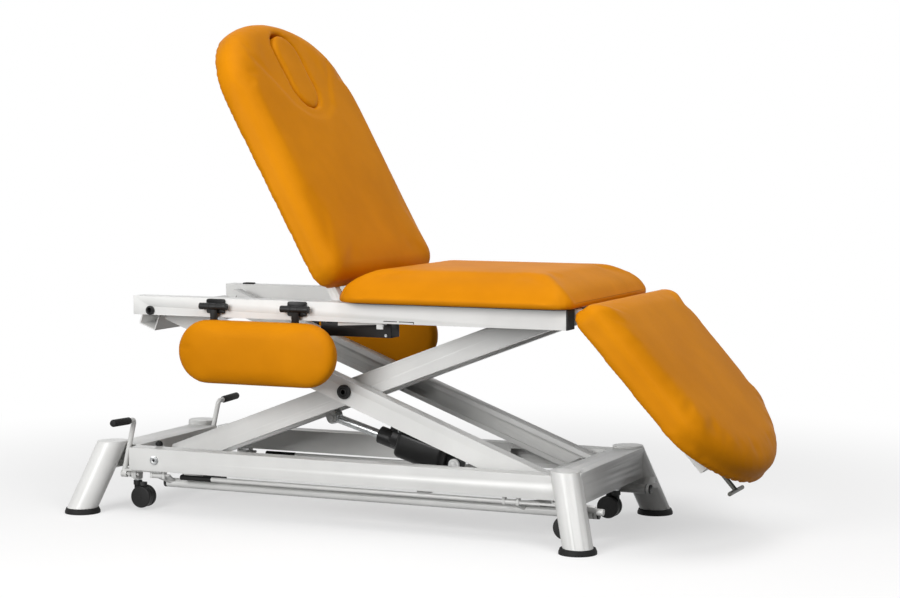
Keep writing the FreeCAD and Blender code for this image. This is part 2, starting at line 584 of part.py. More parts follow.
def on_seat(shape):
    """Move a shape drawn on its own underside to the seat's height."""
    moved = shape.copy()
    moved.translate(Vector(0, 0, UNDERSIDE_Z))
    return moved


def on_back(shape):
    """Place a shape drawn along +X from the hinge onto the raised backrest."""
    flat = shape.copy()
    flat.rotate(Vector(0, 0, 0), Vector(0, 0, 1), 180)
    flat.translate(Vector(0, 0, HINGE_DROP))
    return place(flat, BACK_HINGE_X, HINGE_Z, -BACK_ANGLE)


def on_leg_rest(shape):
    """Place a shape drawn along +X from the hinge onto the lowered leg rest."""
    flat = shape.copy()
    flat.translate(Vector(0, 0, HINGE_DROP))
    return place(flat, LEG_HINGE_X, HINGE_Z, -LEG_ANGLE)


def face_oval(grow, z0, z1):
    """The long oval of the face opening, between two heights."""
    r = FACE_W / 2 + grow
    half = (FACE_L - FACE_W) / 2
    ends = [Part.makeCylinder(r, z1 - z0, Vector(FACE_X + s * half, 0, z0)) for s in (-1, 1)]
    return ends[0].fuse([ends[1], box(FACE_X - half, FACE_X + half, -r, r, z0, z1)]).removeSplitter()


def back_cushion():
    """The backrest cushion with its face opening."""
    pad = section_pad(BACK_X0, BACK_X1, BACK_CORNER_R, BACK_HEAD_R, BACK_BULGE)
    return pad.cut(face_oval(0, -1, CUSHION_T + 1))


def face_plug():
    """The plug that fills the face opening."""
    plug = face_oval(-FACE_GAP_SOFT, 1.0, CUSHION_T)
    return plug.makeFillet(6.0, [e for e in plug.Edges if e.BoundBox.ZMin > CUSHION_T - 0.1])


def tube_frame(u1, cross_us):
    """Two square tubes and their cross tubes under a cushion, from the hinge line outwards."""
    z1 = 0.0
    y0, y1 = PAD_TUBE_Y - PAD_TUBE / 2, PAD_TUBE_Y + PAD_TUBE / 2
    side = box_tube(-9, u1, y0, y1, z1 - PAD_TUBE, z1, PAD_TUBE_WALL)
    corner = box(-10, 0, y0 - 1, y1 + 1, z1 - PAD_TUBE - 1, z1 + 1)
    side = side.cut(corner.cut(pin_y(0, -HINGE_DROP, y0 - 1, y1 + 1, HINGE_DROP - 0.2)))
    side = side.cut(pin_y(0, -HINGE_DROP, y0 - 1, y1 + 1, HINGE_PIN_R + RUN_GAP))
    parts = [side, mirrored(side)]
    for u in cross_us:
        parts.append(box_tube(u, u + PAD_TUBE, -y0, y0, z1 - PAD_TUBE, z1, PAD_TUBE_WALL, "y"))
    return Part.makeCompound(parts)


def leg_frame():
    """The leg rest's tubes with the block that guides the pull handle."""
    x0, z0 = LEG_TUBE_X1 - PAD_TUBE + 2, -HANDLE_OUT - HANDLE_ROD_R - 4
    block = box(x0, x0 + 20, -12, 12, z0, -PAD_TUBE)
    bore = rod((HANDLE_X0, 0, -HANDLE_OUT), (HANDLE_X1, 0, -HANDLE_OUT), HANDLE_ROD_R + RUN_GAP)
    return Part.makeCompound([tube_frame(LEG_TUBE_X1, (BACK_CROSS_X, LEG_TUBE_X1 - PAD_TUBE)), block.cut(bore)])


def leg_handle():
    """The pull handle under the leg rest: a rod and a cross bar."""
    half = HANDLE_BAR_L / 2
    stem = rod((HANDLE_X0, 0, -HANDLE_OUT), (HANDLE_X1, 0, -HANDLE_OUT), HANDLE_ROD_R)
    bar = rod((HANDLE_X1, -half, -HANDLE_OUT), (HANDLE_X1, half, -HANDLE_OUT), HANDLE_BAR_R)
    return group([stem, bar])


def side_pad():
    """A side rest on the +Y side: a flat pad with round ends, hanging beside the rail."""
    height = REST_Z1 - REST_Z0
    r = height / 2
    y0 = UP_HALF_W + REST_GAP
    zc = REST_Z0 + r
    body = box(REST_X0 + r, REST_X1 - r, y0, y0 + REST_T, REST_Z0, REST_Z1)
    ends = [pin_y(x, zc, y0, y0 + REST_T, r) for x in (REST_X0 + r, REST_X1 - r)]
    pad = body.fuse(ends).removeSplitter()
    rims = [e for e in pad.Edges if e.BoundBox.YLength < 0.1]
    return pad.makeFillet(REST_EDGE_R, rims)


def clamp_pin():
    """The height and the sideways place of the side rests' hinge line."""
    return UP_HALF_W + CLAMP_BODY_T + CLAMP_EYE_R + FACE_GAP, UP_RAIL_Z + UP_RAIL_H * 0.6


def clamp(x):
    """A rail clamp on the +Y rail: a body with two ears and the hinge pin with its knobs."""
    pin_side, pin_z = clamp_pin()
    half, slot = CLAMP_W / 2, HANGER_W / 2 + FACE_GAP
    y0, y1 = UP_HALF_W, UP_HALF_W + CLAMP_BODY_T
    body = box(x - half, x + half, y0, y1, pin_z - CLAMP_H / 2, pin_z + CLAMP_H / 2)
    body = body.makeFillet(5.0, [e for e in body.Edges if e.BoundBox.YLength > 1])
    ears = box(x - half, x + half, y0 + 2, pin_side, pin_z - CLAMP_EYE_R, pin_z + CLAMP_EYE_R)
    ears = ears.fuse(rod((x - half, pin_side, pin_z), (x + half, pin_side, pin_z), CLAMP_EYE_R))
    ears = ears.cut(box(x - slot, x + slot, y1, y1 + 99, pin_z - 40, pin_z + 40))
    pin = rod((x - half, pin_side, pin_z), (x + half, pin_side, pin_z), CLAMP_PIN_R)
    knobs = [rod((x + s * half, pin_side, pin_z), (x + s * (half + CLAMP_KNOB_L), pin_side, pin_z),
                 CLAMP_KNOB_R) for s in (-1, 1)]
    return body.fuse([ears, pin] + knobs).removeSplitter()


def clamps():
    """All the rail clamps."""
    solids = []
    for x in CLAMP_XS:
        solids.append(clamp(x))
        solids.append(mirrored(clamp(x)))
    return Part.makeCompound(solids)


def hangers():
    """The two straps that carry a side pad from its clamps' pins, on the +Y side."""
    straps = []
    pin_side, pin_z = clamp_pin()
    half = HANGER_W / 2
    y1 = UP_HALF_W + REST_GAP
    for x in CLAMP_XS:
        eye = rod((x - half, pin_side, pin_z), (x + half, pin_side, pin_z), CLAMP_EYE_R)
        strap = box(x - half, x + half, y1 - HANGER_T, y1, pin_z - HANGER_L, pin_z)
        hole = rod((x - HANGER_W, pin_side, pin_z), (x + HANGER_W, pin_side, pin_z), CLAMP_PIN_R + RUN_GAP)
        straps.append(eye.fuse(strap).removeSplitter().cut(hole))
    return Part.makeCompound(straps)


def act_direction():
    """Unit direction and length from the actuator's base pin to its arm pin."""
    x, z = lift_pin_place()
    dx, dz = x - ACT_BASE_X, z - ACT_BASE_Z
    length = math.hypot(dx, dz)
    return dx / length, dz / length, length


def along_actuator(shape):
    """Place a shape drawn along +X from the base pin onto the actuator's line, upright."""
    dx, dz, _ = act_direction()
    turned = shape.mirror(Vector(0, 0, 0), Vector(1, 0, 0))
    return place(turned, ACT_BASE_X, ACT_BASE_Z, math.degrees(math.atan2(dz, dx)) - 180)


def act_split():
    """Where the rod leaves the actuator's tube, from the base pin."""
    return act_direction()[2] * 0.62


def actuator_housing():
    """The actuator's gearbox, motor and tube, with the eye at its base pin."""
    split = act_split()
    eye = pin_y(0, 0, -EYE_R, EYE_R, EYE_R)
    neck = box(0, 30, -EYE_R, EYE_R, -12, 12)
    gearbox = box(24, 92, -30, 30, -26, 40)
    gearbox = gearbox.makeFillet(8.0, [e for e in gearbox.Edges if e.BoundBox.YLength > 1])
    tube = rod((70, 0, 0), (split, 0, 0), ACT_TUBE_R)
    motor = rod((60, 0, ACT_MOTOR_UP), (60 + ACT_MOTOR_L, 0, ACT_MOTOR_UP), ACT_MOTOR_R)
    body = eye.fuse([neck, gearbox, tube, motor]).removeSplitter()
    body = body.cut(pin_y(0, 0, -EYE_R - 1, EYE_R + 1, EYE_PIN_R + RUN_GAP))
    bore = rod((split - ACT_OVERLAP - ACT_RETRACT, 0, 0), (split + 1, 0, 0), ACT_ROD_R + RUN_GAP)
    return along_actuator(body.cut(bore))


def actuator_rod():
    """The push rod with its eye, which sits between the lift bar's cheeks."""
    split, length = act_split(), act_direction()[2]
    shaft = rod((split - ACT_OVERLAP, 0, 0), (length, 0, 0), ACT_ROD_R)
    return along_actuator(shaft.fuse(pin_y(length, 0, -EYE_R, EYE_R, EYE_R)).removeSplitter())


def castor_stems():
    """The two stems on one side, which slide in their housings."""
    spots = ((CASTOR_HEAD_X, CASTOR_HEAD_Y, BASE_RAIL_Z), (CASTOR_FOOT_X, CASTOR_FOOT_Y, FOOT_CROSS_Z0))
    stems = []
    for x, y, top in spots:
        stem = Part.makeCylinder(STEM_R, top - FORK_TOP_Z - 1, Vector(x, y, FORK_TOP_Z))
        stud = Part.makeCylinder(STEM_R / 2, 16, Vector(x, y, FORK_TOP_Z - 15))
        stems.append(stem.fuse(stud).removeSplitter())
    return Part.makeCompound(stems)


def castor_fork(x, y, side):
    """A castor's hood: a cap on the stud and a web between the wheels, with the axle."""
    wx = x + side * TRAIL
    top = FORK_TOP_Z - SOFT_GAP
    web_half = WHEEL_GAP / 2 - 1
    hub = Part.makeCylinder(STEM_R + 3, 12, Vector(x, y, top - 12))
    web = box(min(x, wx) - 8, max(x, wx) + 8, y - web_half, y + web_half, WHEEL_Z - 8, top - 4)
    axle = pin_y(wx, WHEEL_Z, y - WHEEL_GAP / 2 - WHEEL_W, y + WHEEL_GAP / 2 + WHEEL_W, WHEEL_AXLE_R)
    stud_hole = Part.makeCylinder(STEM_R / 2 + RUN_GAP, 30, Vector(x, y, FORK_TOP_Z - 16))
    return hub.fuse([web, axle]).removeSplitter().cut(stud_hole)


def castor_wheels(x, y, side):
    """A castor's two wheels."""
    wx = x + side * TRAIL
    wheels = []
    for y0 in (y - WHEEL_GAP / 2 - WHEEL_W, y + WHEEL_GAP / 2):
        disc = pin_y(wx, WHEEL_Z, y0, y0 + WHEEL_W, WHEEL_R)
        disc = disc.makeFillet(3.0, [e for e in disc.Edges if e.BoundBox.YLength < 0.1])
        wheels.append(disc.cut(pin_y(wx, WHEEL_Z, y0 - 1, y0 + WHEEL_W + 1, WHEEL_AXLE_R + RUN_GAP)))
    return Part.makeCompound(wheels)


def castor_lever():
    """The lever on the +Y side that lowers that side's castors: shaft, bent bar and grip."""
    foot, top = (LEVER_FOOT_X, LEVER_Y, LEVER_FOOT_Z), (LEVER_TOP_X, LEVER_Y, LEVER_TOP_Z)
    bend = (LEVER_TOP_X, LEVER_Y + 18, LEVER_TOP_Z + 3)
    shaft = rod(foot, (CASTOR_HEAD_X + LUG_OFF + LUG_T + 6, LEVER_Y, LEVER_FOOT_Z), LEVER_SHAFT_R)
    knees = [Part.makeSphere(LEVER_R, Vector(*p)) for p in (foot, top)]
    bar = rod(foot, top, LEVER_R).fuse([rod(top, bend, LEVER_R)] + knees).removeSplitter()
    grip = rod(bend, (LEVER_TOP_X, LEVER_Y + 18 + GRIP_L, LEVER_TOP_Z + 5), GRIP_R)
    return group([bar, shaft, grip])


def foot_bar():
    """The long foot bar under the +Y rail on two slanted arms with a hinge rod at each."""
    ends = (FOOT_BAR_X0, FOOT_BAR_Y, FOOT_BAR_Z), (FOOT_BAR_X1, FOOT_BAR_Y, FOOT_BAR_Z)
    inner_r = FOOT_BAR_R - FOOT_BAR_WALL
    parts = []
    for x in FOOT_ARM_XS:
        hinge = (x, FOOT_HINGE_Y, FOOT_HINGE_Z), (x + KNUCKLE_L, FOOT_HINGE_Y, FOOT_HINGE_Z)
        arm_end = (x + KNUCKLE_L * 1.5, FOOT_BAR_Y, FOOT_BAR_Z)
        arm = rod((x + KNUCKLE_L / 2, FOOT_HINGE_Y, FOOT_HINGE_Z), arm_end, KNUCKLE_R)
        knuckle = rod(*hinge, KNUCKLE_R).fuse(arm).removeSplitter()
        parts.append(knuckle.cut(rod(*hinge, FOOT_PIN_R + RUN_GAP)))
    tube = rod(*ends, FOOT_BAR_R).cut(rod(*ends, inner_r))
    arms = [part.cut(rod(*ends, FOOT_BAR_R)) for part in parts]
    plugs = []
    for x, out in ((FOOT_BAR_X0, -1), (FOOT_BAR_X1, 1)):
        inside = (x - out * 15, FOOT_BAR_Y, FOOT_BAR_Z)
        stem = rod(inside, (x, FOOT_BAR_Y, FOOT_BAR_Z), inner_r - 0.2)
        head = rod((x, FOOT_BAR_Y, FOOT_BAR_Z), (x + out * 4, FOOT_BAR_Y, FOOT_BAR_Z), FOOT_BAR_R)
        plugs.append(stem.fuse(head).removeSplitter())
    return group([tube] + arms + plugs)


def build():
    """All the nodes by name, in the drawing's own place."""
    back = (BACK_X0, BACK_X1, BACK_CORNER_R, BACK_HEAD_R, BACK_BULGE)
    legs = (LEG_X0, LEG_X1, LEG_CORNER_R, LEG_END_R, LEG_BULGE)
    seat = (SEAT_X0, SEAT_X1, SEAT_CORNER_R, SEAT_END_R, 0)
    nodes = {
        "base_rail_far": base_rail(),
        "base_rail_near": mirrored(base_rail()),
        "base_cross_head": head_cross(),
        "base_cross_foot": foot_cross(),
        "legs": Part.makeCompound(four_corners(leg())),
        "foot_pads": Part.makeCompound(four_corners(foot_pad())),
        "castor_brackets": castor_brackets(),
        "lower_pivot_shaft": lower_pivot_shaft(),
        "base_bar": base_bar(),
        "bump_stops": pair(bump_stop()),
        "inner_arm_far": inner_arm(),
        "inner_arm_near": mirrored(inner_arm()),
        "inner_pivot_sleeve": inner_sleeve(),
        "lift_bar": lift_bar(),
        "upper_rollers": roller_set(ROLLER_X, UP_ROLLER_Z, UP_HALF_W, UP_RAIL_H, INNER_ARM_Y, UP_ROLLER_GAP),
        "outer_arm_far": outer_arm(),
        "outer_arm_near": mirrored(outer_arm()),
        "outer_head_beam": head_beam(),
        "centre_pins": pair(centre_pin()),
        "lower_rollers": roller_set(ROLLER_X, LOW_PIVOT_Z, BASE_HALF_W, BASE_RAIL_H, OUTER_ARM_Y, ROLLER_GAP),
        "actuator_housing": actuator_housing(),
        "actuator_rod": actuator_rod(),
        "upper_rail_far": upper_rail(),
        "upper_rail_near": mirrored(upper_rail()),
        "upper_crossbars": crossbars(),
        "upper_pivot_pins": pair(upper_pivot_pin()),
        "rail_end_plugs": rail_plugs(),
        "hinge_ears": hinge_ears(),
        "control_box": control_box(),
        "backrest_lever": backrest_lever(),
        "armrest_clamps": clamps(),
        "seat_board": on_seat(section_board(*seat)),
        "seat_cushion": on_seat(section_pad(*seat)),
        "backrest_frame": on_back(tube_frame(BACK_TUBE_X1, (BACK_CROSS_X, BACK_MID_CROSS_X, BACK_TUBE_X1 - PAD_TUBE))),
        "backrest_board": on_back(section_board(*back).cut(face_oval(0, -1, CUSHION_T))),
        "backrest_cushion": on_back(back_cushion()),
        "face_plug": on_back(face_plug()),
        "leg_rest_frame": on_leg_rest(leg_frame()),
        "leg_rest_board": on_leg_rest(section_board(*legs)),
        "leg_rest_cushion": on_leg_rest(section_pad(*legs)),
        "leg_rest_handle": on_leg_rest(leg_handle()),
        "armrest_pad_far": side_pad(),
        "armrest_pad_near": mirrored(side_pad()),
        "armrest_hangers_far": hangers(),
        "armrest_hangers_near": mirrored(hangers()),
        "castor_stems_far": castor_stems(),
        "castor_stems_near": mirrored(castor_stems()),
        "castor_lever_far": castor_lever(),
        "castor_lever_near": mirrored(castor_lever()),
        "foot_bar_far": foot_bar(),
        "foot_bar_near": mirrored(foot_bar()),
    }
    for end, x, y, side in (("head", CASTOR_HEAD_X, CASTOR_HEAD_Y, 1), ("foot", CASTOR_FOOT_X, CASTOR_FOOT_Y, -1)):
        fork, wheels = castor_fork(x, y, side), castor_wheels(x, y, side)
        nodes[f"castor_fork_{end}_far"] = fork
        nodes[f"castor_fork_{end}_near"] = mirrored(fork)
        nodes[f"castor_wheels_{end}_far"] = wheels
        nodes[f"castor_wheels_{end}_near"] = mirrored(wheels)
    return nodes


def main():
    """Centre the table along X over the origin and write one file for each node."""
    nodes = build()
    xs = [point.x for shape in nodes.values() for point in shape.tessellate(0.1)[0]]
    shift = round(-(min(xs) + max(xs)) / 2, 1)
    os.makedirs("parts", exist_ok=True)
    for name, shape in nodes.items():
        shape.translate(Vector(shift, 0, 0))
        shape.exportStep(f"parts/{name}.step")
    print("moved along X by", shift, "mm;", len(nodes), "nodes")


main()
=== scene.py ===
"""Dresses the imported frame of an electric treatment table.

The upholstery is blown up as cloth from the frame's plain pads, the steelwork gets broken edges,
caps and the small fittings that the solids lack, and a white studio with the photograph's camera
is set up round it.
"""
import json
import logging
import math
from dataclasses import dataclass, field
from enum import Enum
from typing import Callable

import bpy
from bpy.types import Material, MeshPolygon, Node, NodeSocket, NodeTree, Object
from mathutils import Matrix, Vector
from mathutils.bvhtree import BVHTree
from mathutils.kdtree import KDTree

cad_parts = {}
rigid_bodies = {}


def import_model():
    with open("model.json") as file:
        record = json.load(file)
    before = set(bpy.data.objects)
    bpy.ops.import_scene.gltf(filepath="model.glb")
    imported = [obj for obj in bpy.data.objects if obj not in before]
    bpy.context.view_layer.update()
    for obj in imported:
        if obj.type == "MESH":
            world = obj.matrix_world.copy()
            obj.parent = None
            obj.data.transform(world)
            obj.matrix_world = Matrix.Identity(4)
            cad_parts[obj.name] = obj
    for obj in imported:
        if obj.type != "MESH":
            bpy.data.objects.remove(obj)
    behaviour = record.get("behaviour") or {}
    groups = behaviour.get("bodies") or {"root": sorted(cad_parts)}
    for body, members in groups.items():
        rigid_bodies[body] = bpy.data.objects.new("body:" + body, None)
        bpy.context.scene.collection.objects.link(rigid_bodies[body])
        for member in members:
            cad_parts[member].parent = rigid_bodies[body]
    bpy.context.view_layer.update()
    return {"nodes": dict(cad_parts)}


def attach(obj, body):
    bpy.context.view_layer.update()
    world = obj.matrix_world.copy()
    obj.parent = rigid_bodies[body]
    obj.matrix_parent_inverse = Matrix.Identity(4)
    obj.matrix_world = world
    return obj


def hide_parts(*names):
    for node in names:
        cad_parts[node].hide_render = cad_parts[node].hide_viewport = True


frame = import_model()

LOG = logging.getLogger("treatment_table")
MM = 0.001
SHIFT = -0.1779  # the base-centred drawing was moved along X by this much
WELD_M = 0.00001  # points closer than this are one point
SIDES = ((1, "far"), (-1, "near"))  # sign of Y and name of each side of the table


# Small tools
def linear(code: str, alpha: float = 1.0) -> tuple[float, float, float, float]:
    """Turn an sRGB hex colour into linear values.

    Args:
        code: Six hex digits, with or without a leading hash.
        alpha: Opacity to append.

    Returns:
        Red, green, blue and alpha, linear.
    """
    code = code.lstrip("#")
    parts = [int(code[i:i + 2], 16) / 255 for i in (0, 2, 4)]
    red, green, blue = (c / 12.92 if c <= 0.04045 else ((c + 0.055) / 1.055) ** 2.4 for c in parts)
    return (red, green, blue, alpha)


def spot(x: float, y: float, z: float) -> Vector:
    """Turn a base-centred place in millimetres into a place in the frame, in metres."""
    return Vector((x * MM + SHIFT, y * MM, z * MM))


def only(piece: Object) -> None:
    """Deselect everything and make one object active and selected."""
    bpy.ops.object.select_all(action="DESELECT")
    piece.select_set(True)
    bpy.context.view_layer.objects.active = piece


def called(piece: Object, name: str) -> Object:
    """Give an object and its mesh one name."""
    piece.name = name
    piece.data.name = name
    return piece


def settle(piece: Object, name: str) -> Object:
    """Name a new object and move its place into its mesh."""
    only(piece)
    bpy.ops.object.transform_apply(location=True, rotation=True, scale=True)
    return called(piece, name)


def modified(piece: Object, kind: str, **settings) -> None:
    """Add a modifier to a piece and apply it.

    Args:
        piece: The piece.
        kind: The modifier's type name.
        **settings: Properties of the modifier.
    """
    only(piece)
    bpy.ops.object.modifier_add(type=kind)
    modifier = piece.modifiers[-1]
    for key, value in settings.items():
        setattr(modifier, key, value)
    bpy.ops.object.modifier_apply(modifier=modifier.name)


def pick_faces(piece: Object, test: Callable[[MeshPolygon], bool]) -> None:
    """Go into edit mode with only the faces that pass a test selected."""
    only(piece)
    bpy.ops.object.mode_set(mode="EDIT")
    bpy.ops.mesh.select_mode(type="FACE")
    bpy.ops.mesh.select_all(action="DESELECT")
    bpy.ops.object.mode_set(mode="OBJECT")
    for face in piece.data.polygons:
        face.select = bool(test(face))
    bpy.ops.object.mode_set(mode="EDIT")


def joined(pieces: list[Object], name: str) -> Object:
    """Join meshes into one object.

    Args:
        pieces: The objects to join; the first one stays.
        name: Name of the result.

    Returns:
        The joined object.
    """
    only(pieces[0])
    for piece in pieces:
        piece.select_set(True)
    bpy.context.view_layer.objects.active = pieces[0]
    if len(pieces) > 1:
        bpy.ops.object.join()
    return called(pieces[0], name)


def outward(piece: Object) -> None:
    """Recalculate a closed mesh's normals so that its faces point outwards."""
    only(piece)
    bpy.ops.object.mode_set(mode="EDIT")
    bpy.ops.mesh.select_all(action="SELECT")
    bpy.ops.mesh.remove_doubles(threshold=WELD_M)
    bpy.ops.mesh.normals_make_consistent(inside=False)
    bpy.ops.object.mode_set(mode="OBJECT")


def smooth(piece: Object, degrees: float = 35.0) -> None:
    """Shade smooth, with edges sharper than an angle kept crisp."""
    only(piece)
    bpy.ops.object.shade_smooth_by_angle(angle=math.radians(degrees))


def bevelled(piece: Object, width_mm: float, segments: int = 2,
             degrees: float = 35.0) -> None:
    """Break a piece's sharp edges with an applied bevel."""
    modified(piece, "BEVEL", width=width_mm * MM, segments=segments, limit_method="ANGLE",
             angle_limit=math.radians(degrees), miter_outer="MITER_ARC")


def turned(start: Vector, end: Vector) -> Matrix:
    """A matrix that stands +Z along a line and puts the origin at its middle."""
    along = (end - start).normalized()
    stand = along.to_track_quat("Z", "Y").to_matrix().to_4x4()
    return Matrix.Translation((start + end) / 2) @ stand


def bar(start: Vector, end: Vector, radius_mm: float, edge_mm: float = 0.8,
        sides: int = 32) -> Object:
    """A round bar with broken ends.

    Args:
        start: One end, in metres.
        end: The other end.
        radius_mm: Radius in millimetres.
        edge_mm: Size of the broken edge.
        sides: Facets round the bar.

    Returns:
        The new object, with its place in its mesh.
    """
    bpy.ops.object.select_all(action="DESELECT")
    bpy.ops.mesh.primitive_cylinder_add(vertices=sides, radius=radius_mm * MM,
                                        depth=(end - start).length)
    piece = bpy.context.object
    piece.matrix_world = turned(start, end)
    settle(piece, "bar")
    if edge_mm > 0:
        bevelled(piece, edge_mm, 2, 60)
    smooth(piece, 40)
    return piece


def copied_node(node: str, name: str) -> Object:
    """Copy a CAD node's mesh into a new object and merge its loose triangles."""
    mesh = frame["nodes"][node].data.copy()
    piece = bpy.data.objects.new(name, mesh)
    bpy.context.scene.collection.objects.link(piece)
    piece.data.materials.clear()
    only(piece)
    bpy.ops.object.mode_set(mode="EDIT")
    bpy.ops.mesh.select_all(action="SELECT")
    bpy.ops.mesh.customdata_custom_splitnormals_clear()
    bpy.ops.mesh.remove_doubles(threshold=WELD_M)
    bpy.ops.object.mode_set(mode="OBJECT")
    return piece


def swept(places: list[Vector], kind: str, radius_mm: float, rings: int,
          name: str) -> Object:
    """Sweep a round section along a line and close its ends.

    Args:
        places: The line's points, in metres.
        kind: POLY for a line through the points, NURBS for a smooth one between them.
        radius_mm: Radius of the section.
        rings: How finely the section is drawn.
        name: Name of the piece.

    Returns:
        The closed mesh.
    """
    bpy.ops.object.select_all(action="DESELECT")
    bpy.ops.curve.primitive_nurbs_path_add()
    line = bpy.context.object.data
    line.splines.clear()
    spline = line.splines.new(kind)
    spline.points.add(len(places) - 1)
    for point, place in zip(spline.points, places):
        point.co = (*place, 1.0)
    if kind == "NURBS":
        spline.order_u = 3
        spline.use_endpoint_u = True
        spline.resolution_u = 8
    line.dimensions = "3D"
    line.bevel_depth = radius_mm * MM
    line.bevel_resolution = rings
    line.use_fill_caps = True
    bpy.ops.object.convert(target="MESH")
    return settle(bpy.context.object, name)


def split_off(piece: Object, name: str,
              test: Callable[[Vector], bool]) -> Object:
    """Part the faces whose middle passes a test from a piece.

    Args:
        piece: The piece, which keeps the other faces.
        name: Name of the new piece.
        test: Says whether a face with this middle leaves.

    Returns:
        The new piece.
    """
    before = set(bpy.data.objects)
    pick_faces(piece, lambda face: test(face.center))
    bpy.ops.mesh.separate(type="SELECTED")
    bpy.ops.object.mode_set(mode="OBJECT")
    return called((set(bpy.data.objects) - before).pop(), name)


# Finishes
def add_node(tree: NodeTree, kind: str, values: dict | None = None,
             links: dict | None = None, **settings) -> Node:
    """Add a shader node with its settings, socket values and incoming links.

    Args:
        tree: The material's node tree.
        kind: The node's type name.
        values: Socket name or index to a constant.
        links: Socket name or index to the output socket that feeds it.
        **settings: Properties of the node itself.

    Returns:
        The new node.
    """
    node = tree.nodes.new(kind)
    for key, value in settings.items():
        setattr(node, key, value)
    for key, value in (values or {}).items():
        node.inputs[key].default_value = value
    for key, source in (links or {}).items():
        tree.links.new(source, node.inputs[key])
    return node


def fill(shader: Node, values: dict[str, float]) -> None:
    """Set a shader's plain inputs."""
    for key, value in values.items():
        shader.inputs[key].default_value = value


@dataclass(frozen=True)
class Finish:
    """A surface finish, named for what the real one is."""

    name: str
    slot: str

    def material(self) -> Material:
        """Return this finish's material, made once."""
        made = bpy.data.materials.get(self.name)
        if made is None:
            made = bpy.data.materials.new(self.name)
            made.use_nodes = True
            tree = made.node_tree
            tree.nodes.clear()
            shader = add_node(tree, "ShaderNodeBsdfPrincipled")
            add_node(tree, "ShaderNodeOutputMaterial", links={"Surface": shader.outputs[0]})
            place = add_node(tree, "ShaderNodeTexCoord")
            self.shade(tree, shader, place.outputs["Object"])
        return made

    def shade(self, tree: NodeTree, shader: Node,
              place: NodeSocket) -> None:
        """Fill in the shader; each finish has its own."""
        raise NotImplementedError

    def put_on(self, piece: Object) -> None:
        """Make this the piece's only material."""
        piece.data.materials.clear()
        piece.data.materials.append(self.material())


def grain(tree: NodeTree, shader: Node, heights: list, strength: float,
          depth_mm: float) -> None:
    """Chain bumps into the shader's normal.

    Args:
        tree: The node tree.
        shader: The principled shader.
        heights: Height sockets, coarsest first.
        strength: Strength of each bump.
        depth_mm: Depth that height 1 stands for.
    """
    normal = None
    for height in heights:
        links = {"Height": height}
        if normal is not None:
            links["Normal"] = normal
        depth = {"Strength": strength, "Distance": depth_mm * MM}
        normal = add_node(tree, "ShaderNodeBump", depth, links).outputs[0]
    tree.links.new(normal, shader.inputs["Normal"])


def noise(tree: NodeTree, place: NodeSocket, scale: float,
          detail: float) -> NodeSocket:
    """Soft noise with a number of cells per metre, from 0 to 1."""
    values = {"Scale": scale, "Detail": detail}
    return add_node(tree, "ShaderNodeTexNoise", values, {"Vector": place}).outputs["Fac"]


def mottled(tree: NodeTree, place: NodeSocket, dark: str, light: str,
            scale: float, spread: tuple[float, float] = (0.35, 0.65)) -> NodeSocket:
    """A colour that drifts softly between two hex colours.

    Args:
        tree: The node tree.
        place: Coordinates to read.
        dark: Darker colour.
        light: Lighter colour.
        scale: Noise scale, in cells per metre.
        spread: Where the ramp starts and ends.

    Returns:
        The colour socket.
    """
    ramp = add_node(tree, "ShaderNodeValToRGB", links={"Fac": noise(tree, place, scale, 3.0)})
    ramp.color_ramp.elements[0].position, ramp.color_ramp.elements[1].position = spread
    ramp.color_ramp.elements[0].color = linear(dark)
    ramp.color_ramp.elements[1].color = linear(light)
    return ramp.outputs["Color"]


@dataclass(frozen=True)
class PowderCoat(Finish):
    """Baked polyester powder: an even light grey-white film with a faint orange peel."""

    dark: str = "DEDEDC"
    light: str = "E4E4E2"

    def shade(self, tree: NodeTree, shader: Node,
              place: NodeSocket) -> None:
        """Even colour, half gloss, and orange peel of about 2 mm."""
        colour = mottled(tree, place, self.dark, self.light, 9.0)
        tree.links.new(colour, shader.inputs["Base Color"])
        fill(shader, {"IOR": 1.5, "Roughness": 0.32})
        # orange peel: cells of about 2 mm, 0.03 mm deep
        peel = noise(tree, place, 520.0, 2.0)
        grain(tree, shader, [peel], 0.12, 0.25)


@dataclass(frozen=True)
class ImitationLeather(Finish):
    """PVC-coated knit with a pressed calf grain and a soft, slightly waxy sheen."""

    dark: str = "CE800A"
    light: str = "D8880C"

    def shade(self, tree: NodeTree, shader: Node,
              place: NodeSocket) -> None:
        """Ochre with a faint drift in tone, pebble grain and fine creases."""
        colour = mottled(tree, place, self.dark, self.light, 6.0)
        tree.links.new(colour, shader.inputs["Base Color"])
        fill(shader, {"IOR": 1.46, "Specular IOR Level": 0.04})
        # pebbles of the pressed grain: real ones are 1 mm, drawn at 2 mm so that they show
        pebbles = add_node(tree, "ShaderNodeTexVoronoi", {"Scale": 480.0}, {"Vector": place},
                           feature="SMOOTH_F1")
        warp = noise(tree, place, 160.0, 4.0)
        rough = add_node(tree, "ShaderNodeMapRange", {"To Min": 0.44, "To Max": 0.56},
                         {"Value": warp})
        tree.links.new(rough.outputs[0], shader.inputs["Roughness"])
        grain(tree, shader, [warp, pebbles.outputs["Distance"]], 0.22, 0.35)


@dataclass(frozen=True)
class MouldedPlastic(Finish):
    """Injection-moulded nylon or ABS with a spark-eroded grain."""

    dark: str = "0C0C0C"
    light: str = "141414"
    roughness: float = 0.46

    def shade(self, tree: NodeTree, shader: Node,
              place: NodeSocket) -> None:
        """Near-black body with a fine grain of about 0.8 mm."""
        colour = mottled(tree, place, self.dark, self.light, 40.0)
        tree.links.new(colour, shader.inputs["Base Color"])
        fill(shader, {"IOR": 1.53, "Specular IOR Level": 0.3, "Roughness": self.roughness})
        spark = noise(tree, place, 1250.0, 2.0)
        grain(tree, shader, [spark], 0.25, 0.12)


